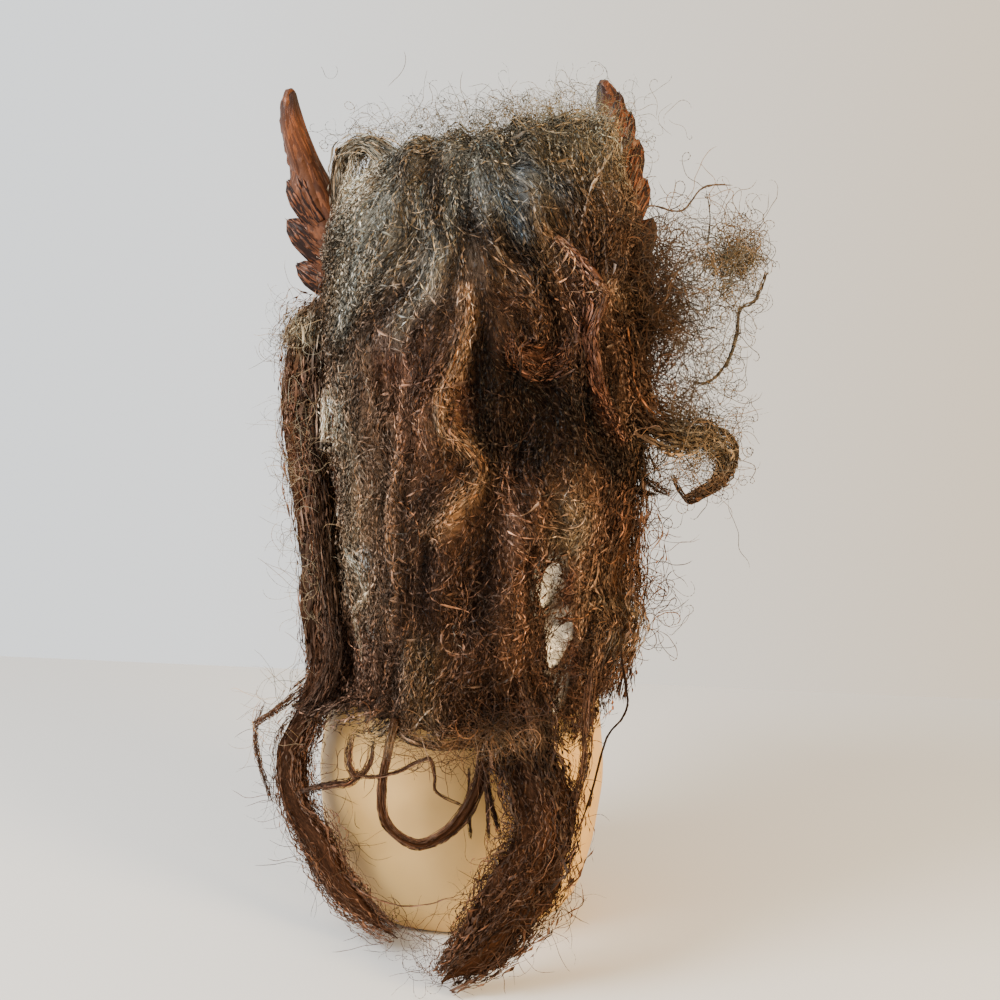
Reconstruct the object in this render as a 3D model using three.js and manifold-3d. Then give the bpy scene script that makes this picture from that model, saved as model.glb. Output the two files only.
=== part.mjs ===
// Werewolf mask on its display head. Millimetres, +Z up.
// The origin is the centre of the stand's foot. The face looks along -Y,
// and the long hair hangs on the +Y side.
import * as THREE from "three";
import Module from "manifold-3d";

const wasm = await Module();
wasm.setup();

// Driving sizes.
const CLEAR = 0.45; // air between two pieces that touch
const FOOT_RADIUS = 60; // flat round foot of the display head
const SHELL_GAP = 2.0; // air between display head and moulded shell
const SHELL_WALL = 4.2; // thickness of the moulded shell
const SHELL_BOTTOM = 148; // lower rim of the shell, under the jaw
const RIM_SLOPE = 20; // degrees by which the lower rim rises from the jaw to the back
const SHELL_BACK = 34; // the shell is open behind this depth
const CHIN_DEPTH = -74; // in front of this depth the jaw and chin reach below the rim
const CHIN_DROP = 14; // and by this much
const EYE_X = 31;
const EYE_Z = 272;
const EYE_TILT = 0.24; // radians by which the eyes rise outward
const STRAP_Z = 258;
const STRAP_RADIUS = 1.1;
const STRAP_SWING = 1.14; // radians either side of the middle of the back where the strap meets the shell
const STRAP_STEPS = 12;
const EAR_DEPTH = -14; // depth of the ears' middle plane
const CROWN_Z = 377; // top of the display head
const HEIGHTS = [0, 6, 30, 70, 140, 165, 200, 240, 275, 310, 340, 360, 371, 376.9]; // rings of the head form
const HEAD_SIDES = 24;
const SHELL_SIDES = 20;
const FAR = 200; // reach of a cutting block past everything it cuts
const SHELL_FACET = 0.15; // facets of the shell that lie flat to each other within this are merged
const LOCK_FACET = 0.3; // and those of the hair locks
const COLOURS = { head: 0xe9e0c8, mask: 0x7a4026, strap: 0x1c1a1a, curtain: 0x4a3a2c, lock: 0x3f2f22 };

const v3 = (x, y, z) => new THREE.Vector3(x, y, z);
const lerp = (a, b, t) => a + (b - a) * t;

// Value at z from a list of [z, value] pairs that rises in z, eased between the stations.
function along(stations, z) {
  if (z <= stations[0][0]) return stations[0][1];
  for (let i = 1; i < stations.length; i++) {
    if (z <= stations[i][0]) {
      const t = (z - stations[i - 1][0]) / (stations[i][0] - stations[i - 1][0]);
      const eased = t * t * (3 - 2 * t);
      return lerp(stations[i - 1][1], stations[i][1], 0.5 * (t + eased));
    }
  }
  return stations[stations.length - 1][1];
}

// A closed solid skinned over rings of equal point count, with a fan at each end.
function skin(rings) {
  const sides = rings[0].length;
  const points = rings.flat();
  const faces = [];
  for (let r = 0; r + 1 < rings.length; r++) {
    for (let s = 0; s < sides; s++) {
      const a = r * sides + s;
      const b = r * sides + ((s + 1) % sides);
      faces.push(a, b, b + sides, a, b + sides, a + sides);
    }
  }
  const cap = (start, turned) => {
    const centre = v3(0, 0, 0);
    for (let s = 0; s < sides; s++) centre.add(points[start + s]);
    points.push(centre.divideScalar(sides));
    const hub = points.length - 1;
    for (let s = 0; s < sides; s++) {
      const a = start + s;
      const b = start + ((s + 1) % sides);
      if (turned) faces.push(hub, b, a);
      else faces.push(hub, a, b);
    }
  };
  cap(0, true);
  cap((rings.length - 1) * sides, false);
  const geometry = new THREE.BufferGeometry().setFromPoints(points);
  geometry.setIndex(faces);
  return solidFrom(geometry);
}

function solidFrom(geometry) {
  const vertProperties = new Float32Array(geometry.attributes.position.array);
  const triVerts = new Uint32Array(geometry.index.array);
  const made = new wasm.Manifold(new wasm.Mesh({ numProp: 3, vertProperties, triVerts }));
  if (made.volume() > 0) return made;
  for (let i = 0; i < triVerts.length; i += 3) {
    [triVerts[i + 1], triVerts[i + 2]] = [triVerts[i + 2], triVerts[i + 1]];
  }
  return new wasm.Manifold(new wasm.Mesh({ numProp: 3, vertProperties, triVerts }));
}

const join = (solids) => solids.reduce((sum, s) => sum.add(s));

// The same solid with facets merged that lie flat to each other within `tolerance`.
const lean = (solid, tolerance) => solid.simplify(tolerance);

// The largest connected body, so that slivers left by a cut are dropped.
function largest(solid) {
  return solid.decompose().reduce((best, s) => (s.volume() > best.volume() ? s : best));
}

// A box from its two corners.
function block(low, high) {
  const size = high.clone().sub(low);
  const g = new THREE.BoxGeometry(size.x, size.y, size.z).toNonIndexed();
  const middle = low.clone().add(high).multiplyScalar(0.5);
  const corners = [];
  const faces = [];
  const seen = new Map();
  for (let i = 0; i < g.attributes.position.count; i++) {
    const p = v3(0, 0, 0).fromBufferAttribute(g.attributes.position, i).add(middle);
    const key = p.toArray().map((c) => c.toFixed(4)).join();
    if (!seen.has(key)) {
      seen.set(key, corners.length);
      corners.push(p);
    }
    faces.push(seen.get(key));
  }
  const boxed = new THREE.BufferGeometry().setFromPoints(corners);
  boxed.setIndex(faces);
  return solidFrom(boxed);
}

// A body swept along a smooth path. Stations are [x, y, z, halfWidth, halfThickness]; the width
// lies across the path and the thickness points away from the upright axis, or along `away`.
// `ridges` raises that many lengthwise ridges, the carved locks or feather barbs of the surface.
function sweep(stations, { rows, sides, ridges = 0, depth = 0, away = null, twist = 0, grow = 0 }) {
  const path = new THREE.CatmullRomCurve3(stations.map((s) => v3(s[0], s[1], s[2])), false, "centripetal");
  const rings = [];
  for (let r = 0; r <= rows; r++) {
    const t = r / rows;
    const p = path.getPoint(t);
    const tangent = path.getTangent(t);
    const outward = away ? away.clone() : v3(p.x, p.y, 0).normalize();
    const across = tangent.clone().cross(outward).normalize();
    const thick = across.clone().cross(tangent).normalize();
    const f = t * (stations.length - 1);
    const i = Math.min(Math.floor(f), stations.length - 2);
    const halfWidth = lerp(stations[i][3], stations[i + 1][3], f - i) + grow;
    const halfThick = lerp(stations[i][4], stations[i + 1][4], f - i) + grow;
    const ring = [];
    for (let s = 0; s < sides; s++) {
      const a = (2 * Math.PI * s) / sides + twist * t;
      const relief = ridges ? 1 + depth * Math.cos((2 * Math.PI * s * ridges) / sides) : 1;
      ring.push(
        p.clone()
          .addScaledVector(across, Math.cos(a) * halfWidth * relief)
          .addScaledVector(thick, Math.sin(a) * halfThick * relief),
      );
    }
    rings.push(ring);
  }
  return skin(rings);
}

// A pointed, feather-like tuft of moulded fur from its root to its tip.
function tuft(root, tip, width, thickness, { away, bow = 0, sides = 5, rows = 2, ridges = 0, grow = 0 }) {
  const axis = tip.clone().sub(root);
  const side = axis.clone().cross(away).normalize();
  const at = (t, sideways) => root.clone().addScaledVector(axis, t).addScaledVector(side, sideways);
  const stations = [
    [...at(0, 0).toArray(), width * 0.42, thickness * 0.9],
    [...at(0.35, bow).toArray(), width * 0.5, thickness],
    [...at(0.72, bow * 0.8).toArray(), width * 0.4, thickness * 0.72],
    [...at(1, 0).toArray(), width * 0.07, thickness * 0.16],
  ];
  return sweep(stations, { rows, sides, ridges, depth: 0.12, away, grow });
}

// Display head: half widths, back depths and front depths at each height.
const HEAD_WIDTH = [[0, FOOT_RADIUS], [6, 65], [30, 72], [70, 77], [110, 75], [150, 66], [185, 63],
  [230, 67], [275, 68], [310, 64], [340, 54], [360, 40], [372, 22], [CROWN_Z, 6]];
const HEAD_BACK = [[0, FOOT_RADIUS], [6, 64], [30, 68], [70, 72], [110, 72], [150, 68], [185, 70],
  [230, 80], [275, 84], [310, 80], [340, 68], [360, 50], [372, 28], [CROWN_Z, 8]];
const HEAD_FRONT = [[0, FOOT_RADIUS], [6, 64], [30, 66], [70, 68], [110, 66], [140, 62], [158, 74],
  [172, 80], [200, 78], [275, 78], [310, 78], [340, 64], [360, 44], [372, 24], [CROWN_Z, 7]];

// Ring of the head form at height z, enlarged by `grow`.
function headRing(z, grow, sides) {
  const rise = grow > 0 ? (CROWN_Z / (CROWN_Z + grow)) : 1;
  const zz = z * rise;
  const w = along(HEAD_WIDTH, zz) + grow;
  const ring = [];
  for (let s = 0; s < sides; s++) {
    const a = (2 * Math.PI * s) / sides;
    const back = Math.cos(a) > 0;
    const d = (back ? along(HEAD_BACK, zz) : along(HEAD_FRONT, zz)) + grow;
    ring.push(v3(Math.sin(a) * w, Math.cos(a) * d, z));
  }
  return ring;
}

// The head form from height `bottom` up, enlarged by `grow`.
function headForm(grow, sides, bottom) {
  const rings = [];
  for (const h of HEIGHTS) {
    const z = h <= 0 ? bottom : (h * (CROWN_Z + grow)) / CROWN_Z;
    if (z < bottom) continue;
    rings.push(headRing(z, grow, sides));
  }
  if (rings[0][0].z > bottom) rings.unshift(headRing(bottom, grow, sides));
  return skin(rings);
}

// The nose of the display head stands a little proud of its plain front.
function plainFace(grow = 0) {
  const down = v3(0, -1, 0);
  return sweep(
    [[0, -74, 272, 6, 6], [0, -79, 250, 8, 7], [0, -83, 236, 11, 9], [0, -77, 226, 9, 5]],
    { rows: 4, sides: 6, away: down, grow },
  );
}

// One moulded ear. `side` is +1 for the ear at +X and -1 for the ear at -X. The two were cast
// alike but stand differently: one leans out, the other leans in over the crown.
function ear(side, grow = 0) {
  const back = v3(0, 1, 0);
  const y = EAR_DEPTH;
  const parts = [];
  const add = (root, tip, width, thickness, bow, rows = 2) =>
    parts.push(tuft(v3(...root), v3(...tip), width, thickness,
      { away: back, bow, sides: 6, rows, ridges: 3, grow }));
  if (side > 0) {
    parts.push(sweep(
      [[68, y, 312, 13, 13], [76, y, 338, 15, 13], [83, y, 356, 12, 11], [89, y, 371, 9, 9],
        [93.6, y, 382, 7.6, 8], [98.6, y + 1, 396, 6.6, 7], [101, y + 2, 408, 5, 5.4],
        [100.6, y + 2, 416.4, 2.2, 2.4]],
      { rows: 8, sides: 8, ridges: 4, depth: 0.05, away: back, grow },
    ));
    add([74, y + 7, 344], [100.6, y + 4, 372], 14, 5, -1.5);
    add([82, y + 8, 352], [96.5, y + 5, 377.5], 9, 4, -1);
    add([70, y + 8, 330], [100.4, y + 4, 352.6], 15, 5.4, -2);
    add([66, y + 8, 317], [95.2, y + 4, 330.4], 14, 5.4, -2);
    add([66, y + 10, 326], [84, y + 10, 341], 9, 4, 1);
    add([78, y + 3, 350], [75.2, y + 2, 373.4], 9, 5, 1);
  } else {
    parts.push(sweep(
      [[-62, y, 312, 15, 13], [-64, y, 338, 17, 14], [-63, y, 360, 15, 12], [-62.6, y, 380, 13, 10],
        [-63, y, 396, 11.4, 8.4], [-62.4, y + 1, 410, 8.8, 7], [-59.6, y + 2, 420.5, 5.8, 5.2],
        [-56.2, y + 2, 427.6, 2.4, 2.4]],
      { rows: 8, sides: 8, ridges: 4, depth: 0.05, away: back, grow },
    ));
    add([-64, y + 7, 346], [-81, y + 4, 380.4], 14, 5, 1.5);
    add([-70, y + 6, 330], [-85.4, y + 4, 361], 14, 5, 1.5);
    add([-61, y + 6, 398], [-64.8, y + 5, 422.6], 9, 4, 1);
    add([-64, y + 6, 384], [-71.4, y + 4, 413], 10, 4.4, 1);
    add([-68, y + 6, 366], [-76, y + 4, 399.4], 12, 4.6, 1);
    add([-60, y + 9, 350], [-67, y + 9, 388], 11, 4, 1);
    add([-68, y + 6, 314], [-86, y + 3, 343], 13, 5, 1.5);
  }
  return join(parts);
}

// Snout, jaw, brows, cheekbones and lips of the moulded face, to be joined to the shell.
function faceRelief() {
  const front = v3(0, -1, 0);
  const up = v3(0, 0, 1);
  const parts = [];
  parts.push(sweep(
    [[0, -62, 232, 42, 34], [0, -92, 230, 37, 31], [0, -118, 226, 30, 25], [0, -138, 222, 24, 20],
      [0, -150, 219, 15, 12]],
    { rows: 5, sides: 12, away: up },
  ));
  parts.push(sweep(
    [[0, -84, 262, 12, 7], [0, -104, 252, 10, 8], [0, -128, 242, 9, 7], [0, -146, 237, 7, 5]],
    { rows: 3, sides: 6, away: up },
  ));
  parts.push(sweep(
    [[0, -135, 234, 12, 7], [0, -146, 233, 15, 10], [0, -155, 229, 13, 9], [0, -160, 225, 6, 4]],
    { rows: 4, sides: 8, away: up },
  ));
  parts.push(sweep(
    [[0, -60, 176, 36, 22], [0, -90, 176, 31, 17], [0, -112, 178, 25, 12], [0, -130, 181, 17, 8],
      [0, -137, 183, 9, 4]],
    { rows: 5, sides: 10, away: up },
  ));
  for (const s of [1, -1]) {
    parts.push(sweep(
      [[s * 4, -98, 274, 8, 7], [s * 18, -96, 288, 9, 10], [s * 38, -82, 297, 9, 10],
        [s * 58, -56, 292, 8, 8], [s * 67, -34, 280, 4, 4]],
      { rows: 5, sides: 6, away: front },
    ));
    parts.push(sweep(
      [[s * 20, -92, 236, 8, 6], [s * 44, -77, 247, 12, 10], [s * 68, -30, 256, 6, 5]],
      { rows: 3, sides: 6, away: front },
    ));
    // Lips drawn back over the teeth.
    parts.push(sweep(
      [[s * 8, -146, 208, 4, 5], [s * 22, -128, 204, 4, 5], [s * 31, -104, 200, 4, 6],
        [s * 37, -82, 192, 4, 6]],
      { rows: 3, sides: 5, away: v3(s, 0, 0) },
    ));
  }
  return join(parts);
}

// Tufts of moulded fur on brows, cheeks, jaw, forehead and chin: [root, tip, width] on the +X side.
const CHEEK_TUFTS = [
  [[36, -86, 298], [54, -72, 336], 22],
  [[50, -67, 250], [81, -36, 268], 21], [[44, -69, 222], [79, -40, 228], 21],
  [[40, -74, 198], [73, -46, 188], 21], [[60, -44, 214], [80, 2, 204], 21],
  [[30, -84, 176], [58, -60, 150], 20],
];

function faceTufts(grow = 0) {
  const front = v3(0, -1, 0);
  const parts = [tuft(v3(0, -90, 300), v3(0, -78, 340), 20, 6, { away: front, grow })];
  for (const s of [1, -1]) {
    for (const [root, tip, width] of CHEEK_TUFTS) {
      parts.push(tuft(v3(s * root[0], root[1], root[2]), v3(s * tip[0], tip[1], tip[2]), width, 5.5,
        { away: v3(s * 0.8, -0.6, 0).normalize(), bow: s * 1.5, grow }));
    }
  }
  for (const [x, lift] of [[0, 0], [15, 6], [-15, 6]]) {
    parts.push(tuft(v3(x, -112, 178), v3(x * 1.5, -112, 146 + lift), 15, 6, { away: front, grow }));
  }
  return join(parts);
}

// Pointed teeth: [x, y, z of root, z of tip, radius at the root].
const TEETH = [[16, -134, 204, 184, 4.2], [6, -142, 205, 198, 3], [25, -116, 202, 192, 3.2],
  [11.5, -128, 181, 197, 3.6], [4, -132, 183, 189, 2.6], [20, -112, 181, 190, 3]];

function teeth() {
  const parts = [];
  for (const s of [1, -1]) {
    for (const [x, y, root, tip, radius] of TEETH) {
      parts.push(sweep(
        [[s * x, y, root, radius, radius], [s * x, y + 1.5, tip, radius * 0.15, radius * 0.15]],
        { rows: 1, sides: 4, away: v3(0, -1, 0) },
      ));
    }
  }
  return join(parts);
}

// The hollow mask: one moulded wall with both ears, snout, tufts and teeth.
function maskShell() {
  const outside = headForm(SHELL_GAP + SHELL_WALL, SHELL_SIDES, SHELL_BOTTOM);
  const behind = block(v3(-FAR, SHELL_BACK, 0), v3(FAR, FAR, CROWN_Z + FAR));
  const belowRim = block(v3(-FAR, -20, -90), v3(FAR, FAR, 0))
    .rotate([RIM_SLOPE, 0, 0])
    .translate([0, -60, SHELL_BOTTOM + 2]);
  const underChin = block(v3(-FAR, -FAR, 0), v3(FAR, CHIN_DEPTH, SHELL_BOTTOM - CHIN_DROP));
  const up = v3(0, 0, 1);
  const snoutHollow = sweep(
    [[0, -60, 230, 37, 28], [0, -92, 229, 32, 26], [0, -118, 225, 25, 20], [0, -137, 222, 18, 14]],
    { rows: 3, sides: 12, away: up },
  );
  const jawHollow = sweep(
    [[0, -60, 172, 31, 18], [0, -90, 174, 26, 12.5], [0, -112, 177, 20, 8], [0, -124, 180, 12, 4.5]],
    { rows: 3, sides: 8, away: up },
  );
  const mouth = sweep(
    [[0, -72, 194, 30, 18], [0, -104, 194, 25, 17], [0, -123, 193, 22, 8], [0, -165, 195, 22, 9]],
    { rows: 3, sides: 8, away: up },
  );
  const eyes = [1, -1].map((s) => sweep(
    [[s * (EYE_X - 4), -130, EYE_Z - 2, 13, 8.5], [s * EYE_X, -92, EYE_Z, 12.5, 7.5],
      [s * (EYE_X + 4), -60, EYE_Z + 1, 13, 8.5]],
    { rows: 2, sides: 8, away: v3(-s * Math.sin(EYE_TILT), 0, Math.cos(EYE_TILT)) },
  ));
  const nostrils = [1, -1].map((s) => sweep(
    [[s * 4.5, -164, 224, 3, 2.5], [s * 7, -150, 229, 2.4, 2]],
    { rows: 1, sides: 6, away: up },
  ));
  const cavity = headForm(SHELL_GAP, SHELL_SIDES, SHELL_BOTTOM - 2 * CHIN_DROP).add(plainFace(SHELL_GAP));
  let mask = outside.subtract(behind).subtract(belowRim).add(faceRelief()).add(faceTufts());
  for (const hole of [underChin, snoutHollow, jawHollow, mouth, ...eyes, ...nostrils]) {
    mask = mask.subtract(hole);
  }
  mask = lean(mask.add(teeth()).add(ear(1)).add(ear(-1)), SHELL_FACET);
  return largest(mask.subtract(cavity));
}

// The cord that holds the mask on: it runs from rim to rim round the back of the head.
function elasticStrap() {
  const stations = [];
  const off = SHELL_GAP + STRAP_RADIUS + 0.3;
  const w = along(HEAD_WIDTH, STRAP_Z) + off;
  const d = along(HEAD_BACK, STRAP_Z) + off;
  for (let i = 0; i <= STRAP_STEPS; i++) {
    const a = lerp(-STRAP_SWING, STRAP_SWING, i / STRAP_STEPS);
    stations.push([Math.sin(a) * w, Math.cos(a) * d, STRAP_Z, STRAP_RADIUS, STRAP_RADIUS]);
  }
  return sweep(stations, { rows: STRAP_STEPS, sides: 4, away: v3(0, 0, 1) });
}

// Hair. Half width, sideways middle and depth of the back curtain at each height.
const CURTAIN_HALF = [[108, 50], [140, 57], [170, 65], [240, 76], [300, 80], [325, 78]];
const CURTAIN_MIDDLE = [[112, 3], [170, -4], [240, -8], [300, -5], [325, -3]];
const CURTAIN_DEPTH = [[112, 94], [170, 96], [240, 99], [300, 97], [325, 92]];
// Over the crown the rows turn about a line at this height: [turn in degrees, reach, half width, middle].
const CROWN_AXIS = 325;
const CROWN_ROWS = [[22, 89, 78, -3], [45, 83, 73, -2], [68, 78, 67, -1], [90, 76, 60, 0],
  [110, 73, 55, 1], [130, 73, 50, 1], [148, 78, 44, 1], [160, 81, 36, 0]];
const BACK_ROWS = [108, 124, 144, 166, 190, 215, 240, 265, 290, 312]; // heights of the rows down the back
const CROWN_TILT = 0.11; // the crown stands higher toward the ear at -X
const CURTAIN_LOCKS = 11;
const LOCK_COLUMNS = [0, 0.35, 0.7]; // shares of a lock's width at which its section is taken
const LOCK_RISE = [0, 0.95, 0.85]; // and how far it stands out there
const LOCK_DEPTH = 7;
const LOCK_SWAY = 0.3; // sideways wave of a lock, as a share of its width
const HEM_RAGGED = 10; // how much shorter some locks are at the hem
const HEM_NOTCH = 9; // depth of the notch between two locks at the hem
const HEM_TUCK = 5; // how far the hem draws in
const CURTAIN_THICK = 24; // before it is cut back clear of the shell
const CURTAIN_INNER = 0.86; // width of its inner face as a share of the outer one
const CURTAIN_SPREAD = 1.5; // radians either side of the middle

// A closed solid between an outer and an inner grid of points with equal rows and columns.
function slab(outer, inner) {
  const rows = outer.length;
  const columns = outer[0].length;
  const points = [...outer.flat(), ...inner.flat()];
  const faces = [];
  const quad = (a, b, c, d) => faces.push(a, b, c, a, c, d);
  const out = (r, c) => r * columns + c;
  const inn = (r, c) => rows * columns + r * columns + c;
  for (let r = 0; r + 1 < rows; r++) {
    for (let c = 0; c + 1 < columns; c++) {
      quad(out(r, c), out(r, c + 1), out(r + 1, c + 1), out(r + 1, c));
      quad(inn(r, c), inn(r + 1, c), inn(r + 1, c + 1), inn(r, c + 1));
    }
    quad(out(r, 0), out(r + 1, 0), inn(r + 1, 0), inn(r, 0));
    const e = columns - 1;
    quad(out(r, e), inn(r, e), inn(r + 1, e), out(r + 1, e));
  }
  for (let c = 0; c + 1 < columns; c++) {
    const t = rows - 1;
    quad(out(0, c), inn(0, c), inn(0, c + 1), out(0, c + 1));
    quad(out(t, c), out(t, c + 1), inn(t, c + 1), inn(t, c));
  }
  const geometry = new THREE.BufferGeometry().setFromPoints(points);
  geometry.setIndex(faces);
  return solidFrom(geometry);
}

// The curtain of hair over crown and back: one body with carved, waving locks and a ragged hem.
function hairCurtain() {
  const rows = [];
  for (const z of BACK_ROWS) {
    const reach = along(CURTAIN_DEPTH, z);
    rows.push({ z, turn: 0, reach, half: along(CURTAIN_HALF, z), middle: along(CURTAIN_MIDDLE, z) });
  }
  for (const [degrees, reach, half, middle] of CROWN_ROWS) {
    rows.push({ z: CROWN_AXIS, turn: (degrees * Math.PI) / 180, reach, half, middle });
  }
  const outer = [];
  const inner = [];
  rows.forEach((row, r) => {
    const out = v3(0, Math.cos(row.turn), Math.sin(row.turn));
    const outerRow = [];
    const innerRow = [];
    for (let lock = 0; lock < CURTAIN_LOCKS; lock++) {
      const last = lock === CURTAIN_LOCKS - 1;
      const phase = lock * 2.3;
      const sway = row.turn > 0 ? 0 : LOCK_SWAY * Math.sin(phase + row.z / 19);
      const swell = 0.75 + 0.35 * Math.sin(phase * 1.7 + r * 0.8);
      const ragged = HEM_RAGGED * Math.abs(Math.sin(lock * 1.9));
      for (let k = 0; k < LOCK_COLUMNS.length + (last ? 1 : 0); k++) {
        const edge = k === LOCK_COLUMNS.length;
        const place = lock + (edge ? 1 : LOCK_COLUMNS[k]);
        const free = place > 0.2 && place < CURTAIN_LOCKS - 0.2 ? 1 : 0;
        const share = (2 * (place + free * sway)) / CURTAIN_LOCKS - 1;
        const a = share * CURTAIN_SPREAD;
        const rise = edge ? 0 : LOCK_RISE[k] * swell * LOCK_DEPTH;
        const reach = row.reach * Math.pow(Math.cos(a), row.turn > 0 ? 0.55 : 0.7);
        const hem = r === 0 ? ragged + (edge || k === 0 ? HEM_NOTCH : 0) : 0;
        const x = row.middle - Math.sin(a) * row.half;
        const lift = row.turn > 0 ? -CROWN_TILT * x * Math.sin(row.turn) : 0;
        const tuck = r === 0 ? HEM_TUCK : 0;
        outerRow.push(v3(x, 0, row.z + hem).addScaledVector(out, reach + rise + lift - tuck));
        innerRow.push(v3(x * CURTAIN_INNER, 0, row.z + hem).addScaledVector(out, reach - CURTAIN_THICK));
      }
    }
    outer.push(outerRow);
    inner.push(innerRow);
  });
  return slab(outer, inner);
}

// The free locks, each made `grow` larger all over when another one is cut clear of it.
const HAIR = {
  // Lock that springs from beside the ear, falls beside the head and swings in behind the foot.
  hair_lock_left: (grow) => sweep(
    [[80, -16, 306, 8, 7], [90, -12, 296, 11, 9], [93, -7, 278, 12, 9], [92, 0, 250, 13, 9],
      [85, 8, 220, 12, 9], [77, 17, 182, 11, 9], [68, 27, 145, 10, 8], [77, 34, 112, 10, 8],
      [88, 38, 87, 11, 9], [86, 46, 62, 10, 8], [73, 56, 44, 9, 7], [54, 67, 28, 7, 6],
      [38, 75, 16, 5, 4], [24, 81, 9, 1.5, 1.5]],
    { rows: 18, sides: 8, ridges: 4, depth: 0.13, twist: 1.2, grow },
  ),
  // Thick tail from the lower right of the curtain down to the level of the foot.
  hair_tail_right: (grow) => sweep(
    [[-20, 88, 134, 8, 4], [-31, 93, 114, 15, 8], [-43, 97, 95, 17, 10], [-47, 100, 76, 19, 11],
      [-38, 104, 58, 21, 12], [-27, 108, 40, 19, 11], [-14, 113, 21, 13, 8], [0, 117, 6, 3, 3]],
    { rows: 9, sides: 12, ridges: 6, depth: 0.12, twist: 0.8, grow },
  ),
  // Fluffy side mass on the right with a bump at its lower edge and wiry ends below.
  hair_side_right: (grow) => join([
    sweep(
      [[-70, 40, 268, 9, 9], [-75, 48, 245, 13, 10], [-76, 54, 215, 14, 11], [-72, 60, 188, 15, 12],
        [-76, 64, 166, 14, 12], [-66, 72, 144, 10, 9], [-60, 78, 132, 4, 4]],
      { rows: 9, sides: 8, ridges: 4, depth: 0.12, twist: 0.7, grow },
    ),
    sweep(
      [[-62, 72, 150, 5, 5], [-70, 74, 136, 4, 4], [-66, 80, 112, 3.4, 3.4], [-58, 86, 90, 3, 3],
        [-55, 92, 72, 1.2, 1.2]],
      { rows: 5, sides: 6, ridges: 3, depth: 0.1, grow },
    ),
  ]),
  // Lock that flips up and curls back on itself at the far right.
  hair_curl_right: (grow) => sweep(
    [[-62, 62, 318, 8, 7], [-70, 62, 296, 10, 8], [-73, 62, 272, 11, 9], [-84, 60, 257, 11, 9],
      [-101, 55, 256, 10, 8], [-115, 51, 256, 9, 7], [-120, 49, 246, 8, 7], [-113, 49, 234, 7, 6],
      [-101, 51, 228, 5, 5], [-88, 54, 228, 2, 2]],
    { rows: 13, sides: 8, ridges: 4, depth: 0.12, away: v3(0, 1, 0), twist: 0.6, grow },
  ),
  // Fan of hair folded over beside the left ear, like a small second ear.
  hair_fold_left: (grow) => sweep(
    [[69, 0, 350, 7, 6], [71, 4, 369, 9, 7], [68, 9, 384, 7, 7], [57, 17, 387, 9, 7], [45, 28, 380, 10, 7],
      [35, 41, 368, 9, 6], [25, 55, 350, 4, 4]],
    { rows: 8, sides: 8, ridges: 4, depth: 0.12, away: v3(0.3, 0.8, 0.5).normalize(), grow },
  ),
  // Rope-like strand that hangs in a U below the hem.
  hair_loop: (grow) => sweep(
    [[30, 90, 122, 3, 3], [33, 89, 106, 3, 3], [35.5, 88, 86, 3, 3], [32, 88, 69, 3, 3],
      [17, 89, 60.5, 3, 3], [1, 90, 70, 3, 3], [-9, 91, 88, 3, 3], [-12, 91, 106, 3, 3], [-12, 91, 122, 3, 3]],
    { rows: 12, sides: 5, away: v3(0, 1, 0), twist: 3, grow },
  ),
};

const material = (colour, roughness) => new THREE.MeshStandardMaterial({ color: colour, roughness });
const group = new THREE.Group();

// Adds a solid to the group as a named mesh.
function put(name, solid, colour, roughness) {
  const m = solid.getMesh();
  const geometry = new THREE.BufferGeometry();
  geometry.setAttribute("position", new THREE.BufferAttribute(new Float32Array(m.vertProperties), 3));
  geometry.setIndex(new THREE.BufferAttribute(new Uint32Array(m.triVerts), 1));
  geometry.computeVertexNormals();
  const mesh = new THREE.Mesh(geometry, material(colour, roughness));
  mesh.name = name;
  group.add(mesh);
}

put("display_head", headForm(0, HEAD_SIDES, 0).add(plainFace()), COLOURS.head, 0.6);
put("mask_shell", maskShell(), COLOURS.mask, 0.4);
put("elastic_strap", elasticStrap(), COLOURS.strap, 0.8);

// The hair lies on the shell and the head: it is cut back clear of both,
// and each lock clear of those before it.
const HAIR_LOWEST = 60; // the hair is cut back clear of the head form from here up
const under = headForm(SHELL_GAP + SHELL_WALL + CLEAR, SHELL_SIDES, HAIR_LOWEST)
  .add(ear(1, CLEAR)).add(ear(-1, CLEAR)).add(faceTufts(CLEAR));
const curtain = largest(hairCurtain().subtract(under));
put("hair_curtain", curtain, COLOURS.curtain, 0.7);
const aside = 0.8 * CLEAR;
const shifts = [[0, 0, 0], [0, CLEAR, 0], [aside, aside, 0], [-aside, aside, 0]];
let taken = join([under, ...shifts.map((shift) => curtain.translate(shift))]);
for (const [name, make] of Object.entries(HAIR)) {
  put(name, largest(lean(make(0), LOCK_FACET).subtract(taken)), COLOURS.lock, 0.7);
  taken = taken.add(make(CLEAR));
}

export default group;
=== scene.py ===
import functools
import math

import bmesh
import bpy
import numpy as np
from bpy.props import FloatProperty, FloatVectorProperty, IntProperty, PointerProperty
from mathutils import Matrix, Vector
from mathutils.bvhtree import BVHTree
from mathutils.kdtree import KDTree


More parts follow.
